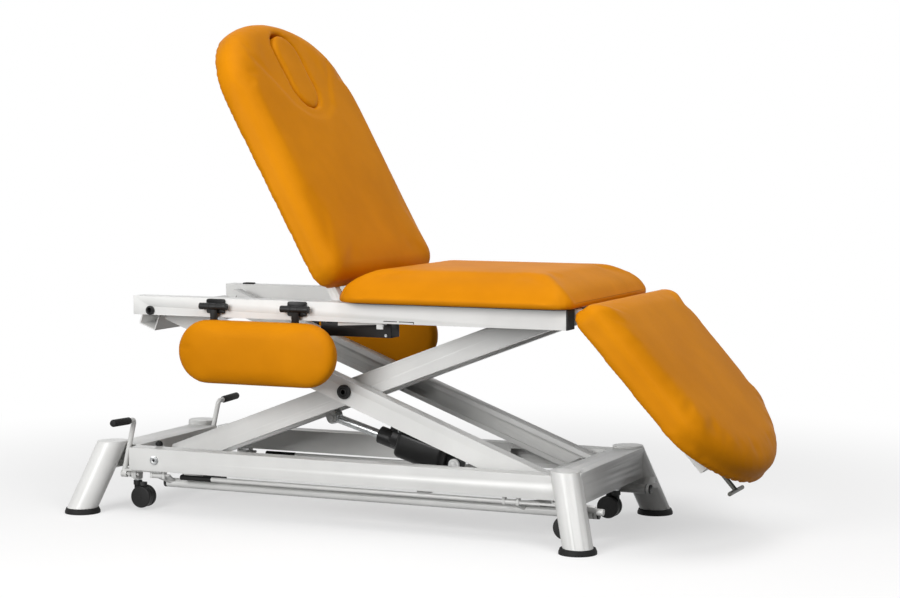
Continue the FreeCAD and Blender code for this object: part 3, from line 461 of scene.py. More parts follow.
@dataclass(frozen=True)
class Rubber(Finish):
    """Moulded rubber: matt, dusty black."""

    dark: str = "0E0E0E"
    light: str = "181818"

    def shade(self, tree: NodeTree, shader: Node,
              place: NodeSocket) -> None:
        """Matt black that catches a little dust."""
        colour = mottled(tree, place, self.dark, self.light, 55.0)
        tree.links.new(colour, shader.inputs["Base Color"])
        fill(shader, {"IOR": 1.52, "Specular IOR Level": 0.25, "Roughness": 0.68})
        skin = noise(tree, place, 900.0, 3.0)
        grain(tree, shader, [skin], 0.3, 0.15)


@dataclass(frozen=True)
class PlatedSteel(Finish):
    """Zinc-plated steel: pale metal with fine drawing lines and a cloudy plating."""

    dark: str = "9C9E9F"
    light: str = "BDBFBF"
    low: float = 0.24
    high: float = 0.4

    def shade(self, tree: NodeTree, shader: Node,
              place: NodeSocket) -> None:
        """Metal whose roughness clouds over patches of about 8 mm."""
        colour = mottled(tree, place, self.dark, self.light, 120.0)
        tree.links.new(colour, shader.inputs["Base Color"])
        fill(shader, {"Metallic": 1.0})
        cloud = noise(tree, place, 130.0, 4.0)
        rough = add_node(tree, "ShaderNodeMapRange", {"To Min": self.low, "To Max": self.high},
                         {"Value": cloud})
        tree.links.new(rough.outputs[0], shader.inputs["Roughness"])
        line = noise(tree, place, 1500.0, 1.0)
        grain(tree, shader, [line], 0.12, 0.05)


@dataclass(frozen=True)
class SatinLacquer(Finish):
    """Dark lacquered steel rod with a soft shine."""

    dark: str = "4A4A45"
    light: str = "5C5C56"

    def shade(self, tree: NodeTree, shader: Node,
              place: NodeSocket) -> None:
        """Dark grey film over metal."""
        colour = mottled(tree, place, self.dark, self.light, 70.0)
        tree.links.new(colour, shader.inputs["Base Color"])
        fill(shader, {"IOR": 1.5, "Metallic": 0.3, "Roughness": 0.4})
        peel = noise(tree, place, 700.0, 2.0)
        grain(tree, shader, [peel], 0.12, 0.15)


@dataclass(frozen=True)
class LiningBoard(Finish):
    """Plywood faced with a black spun lining cloth, fibres pressed flat."""

    dark: str = "161514"
    light: str = "242220"

    def shade(self, tree: NodeTree, shader: Node,
              place: NodeSocket) -> None:
        """Black cloth with a random fibre relief of about 1.5 mm."""
        colour = mottled(tree, place, self.dark, self.light, 320.0)
        tree.links.new(colour, shader.inputs["Base Color"])
        fill(shader, {"Roughness": 0.9, "Sheen Weight": 0.25})
        fibre = add_node(tree, "ShaderNodeTexVoronoi", {"Scale": 620.0}, {"Vector": place})
        grain(tree, shader, [fibre.outputs["Distance"]], 0.35, 0.2)


class Surface(Enum):
    """The finishes on the table."""

    PAINT = PowderCoat("polyester_powder_coat_light_grey", "frame_paint")
    COVER = ImitationLeather("pvc_imitation_leather_ochre", "upholstery")
    SEAM = ImitationLeather("pvc_welt_seam_ochre", "upholstery", "A8690B", "B4720C")
    NYLON = MouldedPlastic("moulded_nylon_black", "black_plastic")
    ABS = MouldedPlastic("moulded_abs_black_gloss", "black_plastic", "0B0B0B", "111111", 0.34)
    RUBBER = Rubber("moulded_rubber_black", "black_rubber")
    STEEL = PlatedSteel("zinc_plated_steel", "steel")
    ROD = SatinLacquer("satin_lacquered_steel", "dark_steel")
    BOARD = LiningBoard("spun_lining_on_plywood", "board")

    def dress(self, piece: Object, body: str) -> Object:
        """Put this finish on a piece and let it ride on a body.

        Args:
            piece: The piece, in place.
            body: Name of the CAD body that carries it.

        Returns:
            The same piece.
        """
        self.value.put_on(piece)
        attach(piece, body)
        LOG.info("%s rides on %s", piece.name, body)
        return piece


# Rigid nodes
FLAT_DEG = 0.5  # facets that turn by less than this are one flat face


@dataclass
class Rigid:
    """CAD nodes whose shape is right: merged, edges broken, shaded and finished."""

    surface: Surface
    body: str
    nodes: tuple[str, ...]
    edge_mm: float = 0.0
    accents: tuple[tuple[str, Surface, Callable[[Vector], bool]], ...] = ()

    def build(self) -> None:
        """Make one dressed copy of each node, which stands for it."""
        for node in self.nodes:
            piece = copied_node(node, f"{node}_finished")
            only(piece)
            if self.edge_mm > 0:
                bpy.ops.object.mode_set(mode="EDIT")
                bpy.ops.mesh.select_all(action="SELECT")
                bpy.ops.mesh.dissolve_limited(angle_limit=math.radians(FLAT_DEG))
                bpy.ops.object.mode_set(mode="OBJECT")
                bevelled(piece, self.edge_mm, 2, 50)
                modified(piece, "WEIGHTED_NORMAL")
            for name, surface, test in self.accents:
                surface.dress(split_off(piece, f"{node}_{name}", test), self.body)
            smooth(piece, 32)
            self.surface.dress(piece, self.body)
            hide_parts(node)


# Upholstery
UPRIGHT = 0.25  # a wall's normal leans out of the pad's plane by less than this
PIN_MARGIN = 1.12  # points within this many radii of a pin belong to the face opening
PIN_REACH = 1.25  # the pin's hold ends at this many radii
FADE_MM = 14.0  # height over which the hold on the underside fades out
WELT_SUNK = 0.25  # share of its thickness by which a welt sinks into the cover
CLOTH_FRAMES = 20
CLOTH = {"quality": 4, "mass": 0.35, "tension_stiffness": 22, "compression_stiffness": 22,
         "shear_stiffness": 10, "bending_stiffness": 4, "use_pressure": True, "pin_stiffness": 1.0}


@dataclass
class Pad:
    """A foam pad in imitation leather, blown up as cloth from the plain CAD solid."""

    node: str
    body: str
    origin: Vector
    up: Vector
    edge_w_mm: float
    edge_h_mm: float
    height_mm: float = 84.0
    crown_mm: float = 10.0
    middle_mm: float = 318.0
    pressure: float = 4.0
    cap_mm: float = 6.0
    voxel_mm: float = 9.0
    start: float = 0.98
    inset_mm: float = -1.0
    fill: float = 0.8
    sharp_mm: float = 12.0
    hold_mm: float = 6.0
    wall_mm: tuple[float, float] = (8.0, 38.0)
    pins: list[tuple[Vector, float]] = field(default_factory=list)

    def level(self, point: Vector) -> float:
        """Height of a point above the pad's underside, in metres."""
        return (point - self.origin).dot(self.up)

    def flat(self, offset: Vector) -> Vector:
        """The part of an offset that lies in the pad's plane."""
        return offset - self.up * offset.dot(self.up)

    def remesh(self, pad: Object, voxel_mm: float) -> None:
        """Give the pad an even net of small faces."""
        modified(pad, "REMESH", mode="VOXEL", voxel_size=voxel_mm * MM, use_smooth_shade=True)

    def rim(self, pad: Object) -> KDTree:
        """The pad's outline, as a search tree of the points of its upright walls."""
        low, high = self.wall_mm
        walls = []
        for vertex in pad.data.vertices:
            upright = abs(vertex.normal.dot(self.up)) < UPRIGHT
            if (upright and low < self.level(vertex.co) / MM < high
                    and all((vertex.co - centre).length > radius * PIN_MARGIN
                            for centre, radius in self.pins)):
                walls.append(self.flat(vertex.co))
        tree = KDTree(len(walls))
        for index, place in enumerate(walls):
            tree.insert(place, index)
        tree.balance()
        return tree

    def dome(self, pad: Object) -> None:
        """Press the pad's top down to an elliptical edge all round."""
        tree = self.rim(pad)
        wide, deep, crown = self.edge_w_mm * MM, self.edge_h_mm * MM, self.crown_mm * MM
        shoulder = self.height_mm * MM - crown
        for vertex in pad.data.vertices:
            place = self.flat(vertex.co)
            away = (tree.find(place)[0] - place).length
            inside = min(away / wide, 1.0)
            middle = min(away / (self.middle_mm * MM), 1.0)
            top = (shoulder - deep + deep * math.sqrt(1 - (1 - inside) ** 2)
                   + crown * (1 - (1 - middle) ** 2))
            over = self.level(vertex.co) - top
            if over > 0:
                vertex.co -= self.up * over

    def blank(self) -> Object:
        """Copy the CAD solid, dome it, draw it in a little and net it evenly."""
        pad = copied_node(self.node, f"{self.node}_cover")
        outward(pad)
        self.remesh(pad, self.voxel_mm)
        self.dome(pad)
        centre = sum((v.co for v in pad.data.vertices), Vector()) / len(pad.data.vertices)
        reach = max((self.flat(v.co - centre)).length for v in pad.data.vertices)
        for vertex in pad.data.vertices:
            side = self.flat(vertex.co - centre)
            vertex.co -= self.up * self.level(vertex.co) * (1 - self.start)
            vertex.co -= side * (self.inset_mm * MM / reach)
        self.remesh(pad, self.voxel_mm)
        return pad

    def grip(self, pad: Object) -> None:
        """Hold the underside and the pins still; the rest is free to swell."""
        group = pad.vertex_groups.new(name="held")
        for vertex in pad.data.vertices:
            high = self.level(vertex.co) / MM
            weight = 1.0 if high < self.hold_mm else max(0.0, 1 - (high - self.hold_mm) / FADE_MM)
            for centre, radius in self.pins:
                near = (vertex.co - centre).length / radius
                weight = max(weight, min(1.0, max(0.0, (PIN_REACH - near) * 4)))
            if weight > 0:
                group.add([vertex.index], weight, "REPLACE")

    def swell(self, pad: Object) -> None:
        """Run the cloth with inner pressure and keep what it gives, within the cap."""
        rest = [v.co.copy() for v in pad.data.vertices]
        only(pad)
        bpy.ops.object.modifier_add(type="CLOTH")
        cloth = pad.modifiers[-1]
        for key, value in CLOTH.items():
            setattr(cloth.settings, key, value)
        cloth.settings.uniform_pressure_force = self.pressure
        cloth.settings.effector_weights.gravity = 0
        cloth.settings.vertex_group_mass = "held"
        cloth.point_cache.frame_end = CLOTH_FRAMES
        scene = bpy.context.scene
        for number in range(1, CLOTH_FRAMES + 1):
            scene.frame_set(number)
        bpy.ops.object.modifier_apply(modifier=cloth.name)
        cap = self.cap_mm * MM
        for vertex, before in zip(pad.data.vertices, rest):
            step = vertex.co - before
            if step.length > cap:
                vertex.co = before + step * (cap / step.length)
        scene.frame_set(1)

    def crown(self, pad: Object) -> None:
        """Ease the surface and divide it once more."""
        modified(pad, "SMOOTH", factor=0.5, iterations=3)
        modified(pad, "SUBSURF", levels=1, render_levels=1)
        for vertex in pad.data.vertices:
            high = self.level(vertex.co) / MM
            if 0 < high < self.sharp_mm:
                vertex.co -= self.up * (high - self.sharp_mm * (high / self.sharp_mm) ** 1.8) * MM
        bpy.ops.object.shade_smooth()

    def seam(self, pad: Object, name: str, route: list[Vector],
             width_mm: float = 1.6) -> None:
        """Sew one seam: a fine welt laid on the cover along a route near it.

        Args:
            pad: The finished pad.
            name: Name of the seam.
            route: Places near the cover, in order, in metres.
            width_mm: Thickness of the welt.
        """
        cover = BVHTree.FromPolygons([v.co for v in pad.data.vertices],
                                     [f.vertices for f in pad.data.polygons])
        laid = []
        for place in route:
            hit, normal, _, _ = cover.find_nearest(place)
            laid.append(hit - normal * WELT_SUNK * width_mm * MM)
        piece = swept(laid, "POLY", width_mm / 2, 2, name)
        bpy.ops.object.shade_smooth()
        Surface.SEAM.dress(piece, self.body)

    def build(self) -> Object:
        """Make the cover and let it stand for the CAD solid.

        Returns:
            The finished pad.
        """
        pad = self.blank()
        self.grip(pad)
        self.swell(pad)
        pad.vertex_groups.clear()
        self.crown(pad)
        Surface.COVER.dress(pad, self.body)
        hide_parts(self.node)
        return pad


@dataclass
class Upholstery:
    """The three body pads, the face plug and the two side rests."""

    under_z: float = 0.595
    back_hinge: Vector = field(default_factory=lambda: spot(24.0, 0, 587.0))
    leg_hinge: Vector = field(default_factory=lambda: spot(679.3, 0, 587.0))
    back_deg: float = 61.0
    leg_deg: float = 48.2
    drop_mm: float = 8.0
    face_run: float = 0.648
    face_radius: float = 0.128

    def build(self) -> None:
        """Blow up every pad."""
        up = Vector((0, 0, 1))
        back = math.radians(self.back_deg)
        legs = math.radians(self.leg_deg)
        back_up = Vector((math.sin(back), 0, math.cos(back)))
        leg_up = Vector((math.sin(legs), 0, math.cos(legs)))
        back_run = Vector((-math.cos(back), 0, math.sin(back)))
        back_foot = self.back_hinge + back_up * self.drop_mm * MM
        leg_foot = self.leg_hinge + leg_up * self.drop_mm * MM
        face = back_foot + back_run * self.face_run
        seat_foot = Vector((0, 0, self.under_z))
        leg_run = Vector((math.cos(legs), 0, -math.sin(legs)))
        seat = Pad("seat_cushion", "upper_frame", seat_foot, up, 108, 64, height_mm=86,
                   crown_mm=11, inset_mm=-9.0)
        self.sew_seat(seat, seat.build())
        Pad("backrest_cushion", "backrest", back_foot, back_up, 46, 44, crown_mm=7, cap_mm=4.0,
            inset_mm=-9.0, pins=[(face + back_up * h, self.face_radius)
                                 for h in (0.0, 0.03, 0.06, 0.085)]).build()
        leg_rest = Pad("leg_rest_cushion", "leg_rest", leg_foot, leg_up, 44, 34, crown_mm=7,
                       inset_mm=-7.0)
        cover = leg_rest.build()
        for number, (run, high) in enumerate(((18.0, 30.0), (24.0, 54.0))):
            route = [leg_foot + leg_run * run * MM + leg_up * high * MM + Vector((0, v * MM, 0))
                     for v in range(-296, 297, 8)]
            leg_rest.seam(cover, f"leg_rest_hinge_seam_{number + 1}", route)
        Pad("face_plug", "face_plug", back_foot, back_up, 10, 6, crown_mm=0, cap_mm=1.0,
            voxel_mm=5.0, start=0.975, inset_mm=0.0).build()
        for side, name in SIDES:
            Pad(f"armrest_pad_{name}", f"armrest_{name}", spot(0, side * 293.5, 0),
                Vector((0, side, 0)), 26, 22, height_mm=58, crown_mm=5, middle_mm=83, cap_mm=4.0,
                voxel_mm=7.0, start=0.97, wall_mm=(22, 36)).build()

    @staticmethod
    def sew_seat(seat: Pad, cover: Object) -> None:
        """Sew the double seams up the seat's head-end corners and the seam over its foot end."""
        for side, name in SIDES:
            for number, (x, y) in enumerate(((62.0, -290.0), (80.0, -304.0))):
                route = [spot(x, -side * y, 600 + 4 * step) for step in range(10)]
                seat.seam(cover, f"seat_corner_seam_{name}_{number + 1}", route)
        route = [spot(692.0, v, 611.0) for v in range(-262, 263, 8)]
        seat.seam(cover, "seat_foot_end_seam", route)


# Fittings modelled here
def block(low: tuple[float, float, float], high: tuple[float, float, float], name: str,
          edge_mm: float = 1.0, segments: int = 2) -> Object:
    """A block between two base-centred corners in millimetres, with rounded edges."""
    start, end = spot(*low), spot(*high)
    bpy.ops.object.select_all(action="DESELECT")
    bpy.ops.mesh.primitive_cube_add(size=1, location=(start + end) / 2)
    piece = bpy.context.object
    piece.scale = end - start
    settle(piece, name)
    outward(piece)
    if edge_mm > 0:
        bevelled(piece, edge_mm, segments)
    smooth(piece, 40)
    return piece


def tube(route: list[Vector], radius_mm: float, name: str) -> Object:
    """A round tube along a smooth line through the middle of a route's corners.

    Args:
        route: Control points, in metres.
        radius_mm: Radius in millimetres.
        name: Name of the piece.

    Returns:
        The tube as a closed mesh.
    """
    piece = swept(route, "NURBS", radius_mm, 6, name)
    smooth(piece, 40)
    return piece


def turned_cap(centre: Vector, out: Vector, radius_mm: float, high_mm: float,
               steps: list[tuple[float, float]], name: str, sides: int = 48) -> Object:
    """A turned cap: a disc whose outer face is inset and pushed in steps.

    Args:
        centre: Middle of the seat, in metres.
        out: Direction that the face looks.
        radius_mm: Radius of the disc.
        high_mm: How far it stands out.
        steps: Inset and push of each step, in millimetres.
        name: Name of the piece.
        sides: Facets round it.

    Returns:
        The cap.
    """
    piece = bar(centre, centre + out * high_mm * MM, radius_mm, 0.0, sides)
    pick_faces(piece, lambda face: len(face.vertices) > 4
               and (face.center - centre).dot(out) > high_mm * MM / 2)
    for inset_mm, push_mm in steps:
        bpy.ops.mesh.inset(thickness=inset_mm * MM)
        bpy.ops.transform.translate(value=out * push_mm * MM)
    bpy.ops.object.mode_set(mode="OBJECT")
    called(piece, name)
    bevelled(piece, 0.4, 2, 40)
    smooth(piece, 40)
    return piece


@dataclass
class Caps:
    """Caps and bolt heads on the scissor lift and the upper rails."""

    centre_y: float = 199.0
    centre_x: float = 23.0
    centre_z: float = 352.75
    pivot_x: float = -512.0

    def build(self) -> None:
        """Fit the ringed caps on both sides."""
        for side, name in SIDES:
            out = Vector((0, side, 0))
            cap = turned_cap(spot(self.centre_x, side * self.centre_y, self.centre_z), out, 14.5,
                             1.6, [(2.2, 0.0), (0.8, -1.8), (5.0, 0.6), (0.6, -1.6)],
                             f"centre_cap_ring_{name}")
            Surface.ABS.dress(cap, "outer_arms")
            small = turned_cap(spot(self.pivot_x, side * 281.5, 556.0), out, 9.0, 1.2,
                               [(1.6, 0.0), (0.6, -1.4)], f"pivot_cap_ring_{name}")
            Surface.ABS.dress(small, "upper_frame")
            head = turned_cap(spot(self.pivot_x, side * 269.0, 149.5), out, 9.5, 1.4,
                              [(4.6, 0.0), (0.3, -1.6)], f"pivot_bolt_socket_{name}", 6)
            Surface.STEEL.dress(head, "base")
            stop = turned_cap(spot(-534.0, side * 203.0, 177.0), Vector((0, 0, 1)), 12.5, 2.4,
                              [(2.0, 1.0)], f"bump_stop_washer_{name}")
            Surface.STEEL.dress(stop, "base")


@dataclass
class CastorLever:
    """A hand lever that lowers one side's castors: bent rod, black grip, cross shaft and crank."""

    name: str
    side: int
    foot: tuple[float, float, float] = (-630.8, 229.0, 102.0)
    top: tuple[float, float] = (-596.0, 247.0)
    shaft_x: float = -582.0
    grip_mm: tuple[float, float] = (92.0, 10.0)

    def at(self, x: float, y: float, z: float) -> Vector:
        """A place on this lever's side of the table."""
        return spot(x, self.side * y, z)

    def build(self) -> None:
        """Bend the rod, fit the grip and join the shaft and crank."""
        x, y, z = self.foot
        top_x, top_z = self.top
        long, radius = self.grip_mm
        low, high = self.at(x, y, z), self.at(top_x, y, top_z + 4)
        knee = low.lerp(high, 0.8)
        grip_in = self.at(top_x, y + 24, top_z + 4)
        grip_out = self.at(top_x, y + 18 + long, top_z + 7)
        route = [low, low.lerp(high, 0.4), knee, high, self.at(top_x, y + 22, top_z + 4),
                 self.at(top_x, y + 50, top_z + 5)]
        rod = tube(route, 7.0, "rod")
        crank = bar(self.at(x - 6, y, z), self.at(x + 12, y, z), 10.0, 1.5)
        shaft = bar(self.at(x, y, z), self.at(self.shaft_x, y, z), 5.0, 0.6)
        ring = bar(self.at(x + 17, y, z), self.at(x + 23, y, z), 8.5, 1.0)
        lever = joined([rod, crank, shaft, ring], f"castor_lever_{self.name}_rod")
        body = f"castor_lever_{self.name}"
        Surface.PAINT.dress(lever, body)
        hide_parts(body)
        grip = bar(grip_in, grip_out, radius, 5.0, 40)
        grip.name = f"castor_lever_{self.name}_grip"
        Surface.RUBBER.dress(grip, body)


@dataclass
class FootBar:
    """What the long foot bar carries: hinge rod with its rubber end, plugs, end plates and boss."""

    name: str
    side: int
    bar_y: float = 205.0
    bar_z: float = 82.0
    hinge_y: float = 240.0
    hinge_z: float = 104.0
    head_x: float = -505.0
    foot_x: float = 733.0
    cad_foot_x: float = 697.0
    radius_mm: float = 12.5
    plate_mm: float = 6.0

    def at(self, x: float, y: float, z: float) -> Vector:
        """A place on this bar's side of the table."""
        return spot(x, self.side * y, z)

    def plate(self, x0: float, x1: float) -> Object:
        """A flat arm from the hinge rod down to the bar."""
        middle = (x0 + x1) / 2
        high = self.at(middle, self.hinge_y + 3, self.hinge_z + 4)
        low = self.at(middle, self.bar_y, self.bar_z)
        bpy.ops.object.select_all(action="DESELECT")
        bpy.ops.mesh.primitive_cube_add(size=1)
        piece = bpy.context.object
        size = Matrix.Diagonal(((x1 - x0) * MM, self.plate_mm * MM, (high - low).length, 1.0))
        piece.matrix_world = turned(low, high) @ size
        settle(piece, "plate")
        outward(piece)
        bevelled(piece, 1.2, 2)
        smooth(piece, 40)
        return piece

    def build(self) -> None:
        """Fit everything to the foot bar."""
        body = f"foot_bar_{self.name}"
        y, z = self.bar_y, self.bar_z
        end = bar(self.at(self.cad_foot_x - 2, y, z), self.at(self.foot_x, y, z),
                  self.radius_mm, 0.5, 40)
        hinge = bar(self.at(-350, self.hinge_y, self.hinge_z),
                    self.at(592, self.hinge_y, self.hinge_z), 6.2, 0.8)
        boss = bar(self.at(self.foot_x + 2, y + 13, z + 8),
                   self.at(self.foot_x + 20, y + 13, z + 8), 8.5, 1.5)
        plates = [self.plate(self.head_x + 1, self.head_x + 27),
                  self.plate(self.foot_x - 22, self.foot_x + 6)]
        rod = joined([end, hinge, boss] + plates, f"foot_bar_{self.name}_arms")
        Surface.PAINT.dress(rod, body)
        sleeve = bar(self.at(-445, self.hinge_y, self.hinge_z),
                     self.at(-349, self.hinge_y, self.hinge_z), 7.0, 2.0)
        sleeve.name = f"foot_bar_{self.name}_sleeve"
        Surface.RUBBER.dress(sleeve, body)
        for end_name, x, out in (("head", self.head_x - 4, -1), ("foot", self.foot_x, 1)):
            plug = turned_cap(self.at(x, y, z), Vector((out, 0, 0)), self.radius_mm, 4.0,
                              [(3.0, 0.8)], f"foot_bar_{self.name}_plug_{end_name}")
            Surface.NYLON.dress(plug, body)


@dataclass
class LiftMotor:
    """The moulded shell over the lift actuator's motor, with its connectors."""

    base: Vector = field(default_factory=lambda: spot(262.0, 0, 151.0))
    slope_deg: float = 16.2
    tall: float = 0.116
    wide: float = 0.076

    def at(self, along: float, y: float, high: float) -> Vector:
        """A place along the actuator from its base pin, in millimetres."""
        slope = math.radians(self.slope_deg)
        run = Vector((-math.cos(slope), 0, math.sin(slope)))
        rise = Vector((math.sin(slope), 0, math.cos(slope)))
        return self.base + (run * along + rise * high) * MM + Vector((0, y * MM, 0))

    def build(self) -> None:
        """Mould the shell and fit the connectors and their rings."""
        low, high = self.at(24, 0, 8), self.at(166, 0, 8)
        bpy.ops.object.select_all(action="DESELECT")
        bpy.ops.mesh.primitive_cube_add(size=1)
        shell = bpy.context.object
        size = Matrix.Diagonal((self.tall, self.wide, (high - low).length, 1.0))
        shell.matrix_world = turned(low, high) @ size
        settle(shell, "lift_motor_shell")
        outward(shell)
        bevelled(shell, 15.0, 5)
        smooth(shell, 50)
        Surface.ABS.dress(shell, "actuator_housing")
        for number, (y, high_mm) in enumerate(((-20.0, 38.0), (-16.0, 4.0))):
            plug = bar(self.at(160, y, high_mm), self.at(200, y, high_mm), 11.0, 3.0)
            plug.name = f"lift_motor_plug_{number + 1}"
            Surface.NYLON.dress(plug, "actuator_housing")
            ring = bar(self.at(172, y, high_mm), self.at(176, y, high_mm), 12.0, 0.8)
            ring.name = f"lift_motor_plug_ring_{number + 1}"
            Surface.STEEL.dress(ring, "actuator_housing")


@dataclass
class ReleaseLever:
    """The slim tapered blade that releases the backrest, under the near rail."""

    low: tuple[float, float, float] = (38.0, -257.0, 533.0)
    high: tuple[float, float, float] = (168.0, -243.0, 542.4)
    rise_mm: float = 6.5

    def build(self) -> None:
        """Taper a block towards its pivot and let it stand for the plain lever."""
        blade = block(self.low, self.high, "backrest_release_blade", 0.0, 1)
        middle = spot((self.low[0] + self.high[0]) / 2, 0, (self.low[2] + self.high[2]) / 2)
        for vertex in blade.data.vertices:
            if vertex.co.x > middle.x and vertex.co.z < middle.z:
                vertex.co.z += self.rise_mm * MM
        bevelled(blade, 0.8, 2)
        smooth(blade, 40)
        Surface.PAINT.dress(blade, "backrest_lever")
        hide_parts("backrest_lever")


@dataclass
class RailDetails:
    """Closing plates inside the rails, painted shade for slots, screws and the spacer tube on the
    lower axle.
    """

    def build(self) -> None:
        """Fit the plates and small things."""
        for side, name in SIDES:
            y0, y1 = sorted((side * 224.5, side * 223.5))
            plate = block((-565.0, y0, 544.4), (330.0, y1, 593.6), f"upper_rail_liner_{name}",
                          0.3, 1)
            Surface.PAINT.dress(plate, "upper_frame")
            y0, y1 = sorted((side * 215.0, side * 214.0))
            plate = block((-590.0, y0, 119.4), (330.0, y1, 179.6), f"base_rail_liner_{name}",
                          0.3, 1)
            Surface.PAINT.dress(plate, "base")
        # black strips flush with the near rail's face: painted shade standing in for its slots and
        # the slot's end
        for number, (x0, x1) in enumerate(((177.0, 215.0), (220.0, 262.0))):
            slot = block((x0, -275.1, 549.0), (x1, -274.2, 551.0), f"rail_slot_{number + 1}",
                         0.2, 1)
            Surface.NYLON.dress(slot, "upper_frame")
        slot_end_shade = block((260.0, -275.1, 545.0), (262.0, -274.2, 551.0), "rail_slot_end", 0.2, 1)
        Surface.NYLON.dress(slot_end_shade, "upper_frame")
        for number, (x, z) in enumerate(((-24.0, 539.0), (149.0, 538.0), (149.0, 506.0))):
            screw = turned_cap(spot(x, -202.0, z), Vector((0, -1, 0)), 4.0, 1.6,
                               [(1.4, 0.0), (0.3, -0.8)], f"control_box_screw_{number + 1}", 20)
            Surface.STEEL.dress(screw, "upper_frame")
        for end, x, y in (("head", -590.0, 195.0), ("foot", 634.0, 165.0)):
            for side, name in SIDES:
                hood = bar(spot(x, side * y - 6.2, 36.0), spot(x, side * y + 6.2, 36.0),
                           28.5, 1.0, 48)
                hood.name = f"castor_hood_{end}_{name}"
                Surface.NYLON.dress(hood, f"castor_fork_{end}_{name}")
        flat = block((-519.0, 240.0, 593.8), (-489.0, 262.0, 597.8), "far_rail_stop_pad", 1.0)
        Surface.RUBBER.dress(flat, "upper_frame")
        spacer = bar(spot(558.0, -148.0, 149.5), spot(558.0, 148.0, 149.5), 14.0, 0.8, 40)
        spacer.name = "lower_axle_spacer"
        Surface.PAINT.dress(spacer, "lower_rollers")


# Studio
WHITE = (1.0, 1.0, 1.0, 1.0)
LAMPS = (  # name, place, aim, size in metres, power in watts
    ("front_left_softbox", (-1.0, -5.1, 2.1), (0, 0, 0.5), 2.6, 205),
    ("overhead_softbox", (0.6, -0.5, 5.0), (0, 0, 0.5), 4.0, 118),
    ("foot_end_fill", (3.6, -2.6, 3.4), (0, 0, 0.6), 2.4, 80),
)


def looked_at(tree: NodeTree) -> NodeSocket:
    """1 for what the camera sees straight or in a reflection, 0 for light that bounces."""
    ray = add_node(tree, "ShaderNodeLightPath")
    either = {0: ray.outputs["Is Camera Ray"], 1: ray.outputs["Is Glossy Ray"]}
    return add_node(tree, "ShaderNodeMath", links=either, operation="MAXIMUM").outputs[0]


@dataclass
class Studio:
    """A white cove, soft lamps and the photograph's camera."""

    lens_mm: float = 84.26
    place: Vector = field(default_factory=lambda: Vector((2.4712 + SHIFT, -5.1013, 1.0133)))
    yaw_deg: float = 23.608
    pitch_deg: float = 4.349
    paper_glow: float = 0.55
    paper_bounce: float = 0.2
    paper_size: float = 60.0
    fade_from: float = 0.9
    fade_to: float = 2.6
    air: float = 0.11

    def camera(self) -> None:
        """Stand the camera where the photograph was taken from."""
        data = bpy.data.cameras.new("photo_camera")
        data.lens = self.lens_mm
        data.sensor_width = 36.0
        data.sensor_fit = "HORIZONTAL"
        data.clip_end = 100.0
        camera = bpy.data.objects.new("photo_camera", data)
        bpy.context.scene.collection.objects.link(camera)
        camera.location = self.place
        camera.rotation_euler = (math.radians(90 - self.pitch_deg), 0, math.radians(self.yaw_deg))
        bpy.context.scene.camera = camera

    def floor(self) -> None:
        """Lay white paper that fades into the white air and keeps a light shadow of the table."""
        bpy.ops.object.select_all(action="DESELECT")
        bpy.ops.mesh.primitive_plane_add(size=self.paper_size, location=(0, 0, -0.0005))
        plane = settle(bpy.context.object, "studio_floor")
        paper = bpy.data.materials.new("matt_white_paper")
        paper.use_nodes = True
        tree = paper.node_tree
        tree.nodes.clear()
        place = add_node(tree, "ShaderNodeTexCoord")
        away = add_node(tree, "ShaderNodeVectorMath", links={0: place.outputs["Object"]},
                        operation="LENGTH")
        fade = add_node(tree, "ShaderNodeMapRange",
                        {"From Min": self.fade_from, "From Max": self.fade_to,
                         "To Min": self.paper_glow, "To Max": 1.0},
                        {"Value": away.outputs["Value"]}, interpolation_type="SMOOTHSTEP")
        lit = add_node(tree, "ShaderNodeBsdfDiffuse", {"Color": WHITE})
        white = add_node(tree, "ShaderNodeEmission", {"Color": WHITE, "Strength": 1.0})
        seen = add_node(tree, "ShaderNodeMixShader", links={0: fade.outputs[0], 1: lit.outputs[0],
                                                            2: white.outputs[0]})
        dim = add_node(tree, "ShaderNodeBsdfDiffuse", {"Color": (self.paper_bounce,) * 3 + (1.0,)})
        mix = add_node(tree, "ShaderNodeMixShader", links={0: looked_at(tree), 1: dim.outputs[0],
                                                           2: seen.outputs[0]})
        add_node(tree, "ShaderNodeOutputMaterial", links={"Surface": mix.outputs[0]})
        plane.data.materials.append(paper)

    def lamp(self, name: str, where: tuple[float, float, float], aim: tuple[float, float, float],
             size: float, watts: float) -> None:
        """Hang one soft square lamp and point it."""
        data = bpy.data.lights.new(name, "AREA")
        data.size = size
        data.energy = watts
        light = bpy.data.objects.new(name, data)
        bpy.context.scene.collection.objects.link(light)
        light.location = where
        light.rotation_euler = (Vector(aim) - Vector(where)).to_track_quat("-Z", "Y").to_euler()

    def world(self) -> None:
        """Fill light from all round, seen as plain white."""
        world = bpy.context.scene.world or bpy.data.worlds.new("studio_air")
        bpy.context.scene.world = world
        world.use_nodes = True
        tree = world.node_tree
        tree.nodes.clear()
        level = add_node(tree, "ShaderNodeMapRange", {"To Min": self.air, "To Max": 1.0},
                         {"Value": looked_at(tree)})
        back = add_node(tree, "ShaderNodeBackground", {"Color": WHITE},
                        {"Strength": level.outputs[0]})
        add_node(tree, "ShaderNodeOutputWorld", links={"Surface": back.outputs[0]})

    def build(self) -> None:
        """Set up the whole studio."""
        self.camera()
        self.floor()
        self.world()
        for lamp in LAMPS:
            self.lamp(*lamp)
        bpy.context.scene.view_settings.view_transform = "Standard"


def beyond_bar(middle: Vector) -> bool:
    """Whether a face belongs to the foot bar's plain end plugs."""
    x = (middle.x - SHIFT) / MM
    return x < -505.01 and abs(middle.y) < 0.2176 or x > 697.01


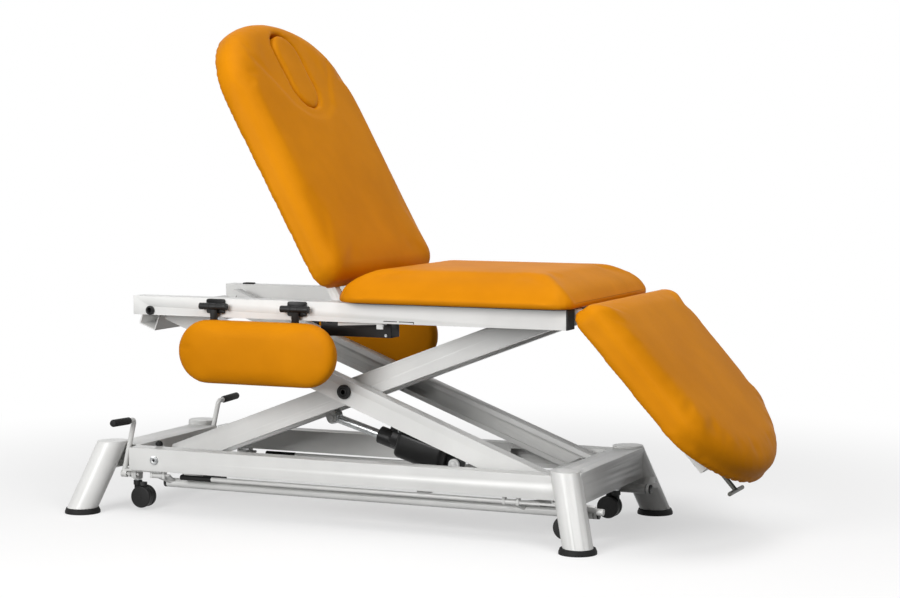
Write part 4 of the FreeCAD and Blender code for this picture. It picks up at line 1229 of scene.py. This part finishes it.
def steelwork() -> list[Rigid]:
    """The rigid nodes and their finishes."""
    castors = [f"castor_{part}_{end}_{side}" for part in ("fork", "wheels")
               for end in ("head", "foot") for side in ("far", "near")]
    parts = [
        Rigid(Surface.PAINT, "base", ("base_rail_far", "base_rail_near", "base_cross_head",
                                      "base_cross_foot", "legs", "castor_brackets",
                                      "base_bar"), 1.0),
        Rigid(Surface.PAINT, "inner_arms", ("inner_arm_far", "inner_arm_near", "inner_pivot_sleeve",
                                            "lift_bar"), 0.8),
        Rigid(Surface.PAINT, "outer_arms", ("outer_arm_far", "outer_arm_near",
                                            "outer_head_beam"), 0.8),
        Rigid(Surface.PAINT, "upper_frame", ("upper_rail_far", "upper_rail_near", "upper_crossbars",
                                             "hinge_ears"), 0.8),
        Rigid(Surface.PAINT, "backrest", ("backrest_frame",), 0.6),
        Rigid(Surface.PAINT, "leg_rest", ("leg_rest_frame",), 0.6),
        Rigid(Surface.RUBBER, "base", ("foot_pads", "bump_stops")),
        Rigid(Surface.STEEL, "base", ("lower_pivot_shaft",), 0.8),
        Rigid(Surface.NYLON, "outer_arms", ("centre_pins",)),
        Rigid(Surface.NYLON, "upper_frame", ("upper_pivot_pins", "rail_end_plugs",
                                             "armrest_clamps"), 0.5),
        Rigid(Surface.ABS, "upper_frame", ("control_box",), 0.8),
        Rigid(Surface.NYLON, "lower_rollers", ("lower_rollers",), 0.6),
        Rigid(Surface.NYLON, "upper_rollers", ("upper_rollers",), 0.6),
        Rigid(Surface.NYLON, "actuator_housing", ("actuator_housing",), 0.8),
        Rigid(Surface.STEEL, "actuator_rod", ("actuator_rod",), 0.6),
        Rigid(Surface.BOARD, "upper_frame", ("seat_board",)),
        Rigid(Surface.BOARD, "backrest", ("backrest_board",)),
        Rigid(Surface.BOARD, "leg_rest", ("leg_rest_board",)),
        Rigid(Surface.ROD, "leg_rest_handle", ("leg_rest_handle",), 0.6),
    ]
    for side in ("far", "near"):
        parts += [
            Rigid(Surface.NYLON, f"armrest_{side}", (f"armrest_hangers_{side}",), 0.5),
            Rigid(Surface.STEEL, f"castor_stems_{side}", (f"castor_stems_{side}",), 0.5),
            Rigid(Surface.PAINT, f"foot_bar_{side}", (f"foot_bar_{side}",),
                  accents=(("old_plugs", Surface.NYLON, beyond_bar),)),
        ]
    parts += [Rigid(Surface.NYLON, node, (node,), 0.5) for node in castors]
    return parts


def main() -> None:
    """Build the table's looks and the studio."""
    logging.basicConfig(level=logging.INFO, format="%(message)s")
    Studio().build()
    for part in steelwork():
        part.build()
    Caps().build()
    for side, name in SIDES:
        CastorLever(name, side).build()
        FootBar(name, side).build()
    LiftMotor().build()
    ReleaseLever().build()
    RailDetails().build()
    Upholstery().build()


if __name__ == "__main__":
    main()
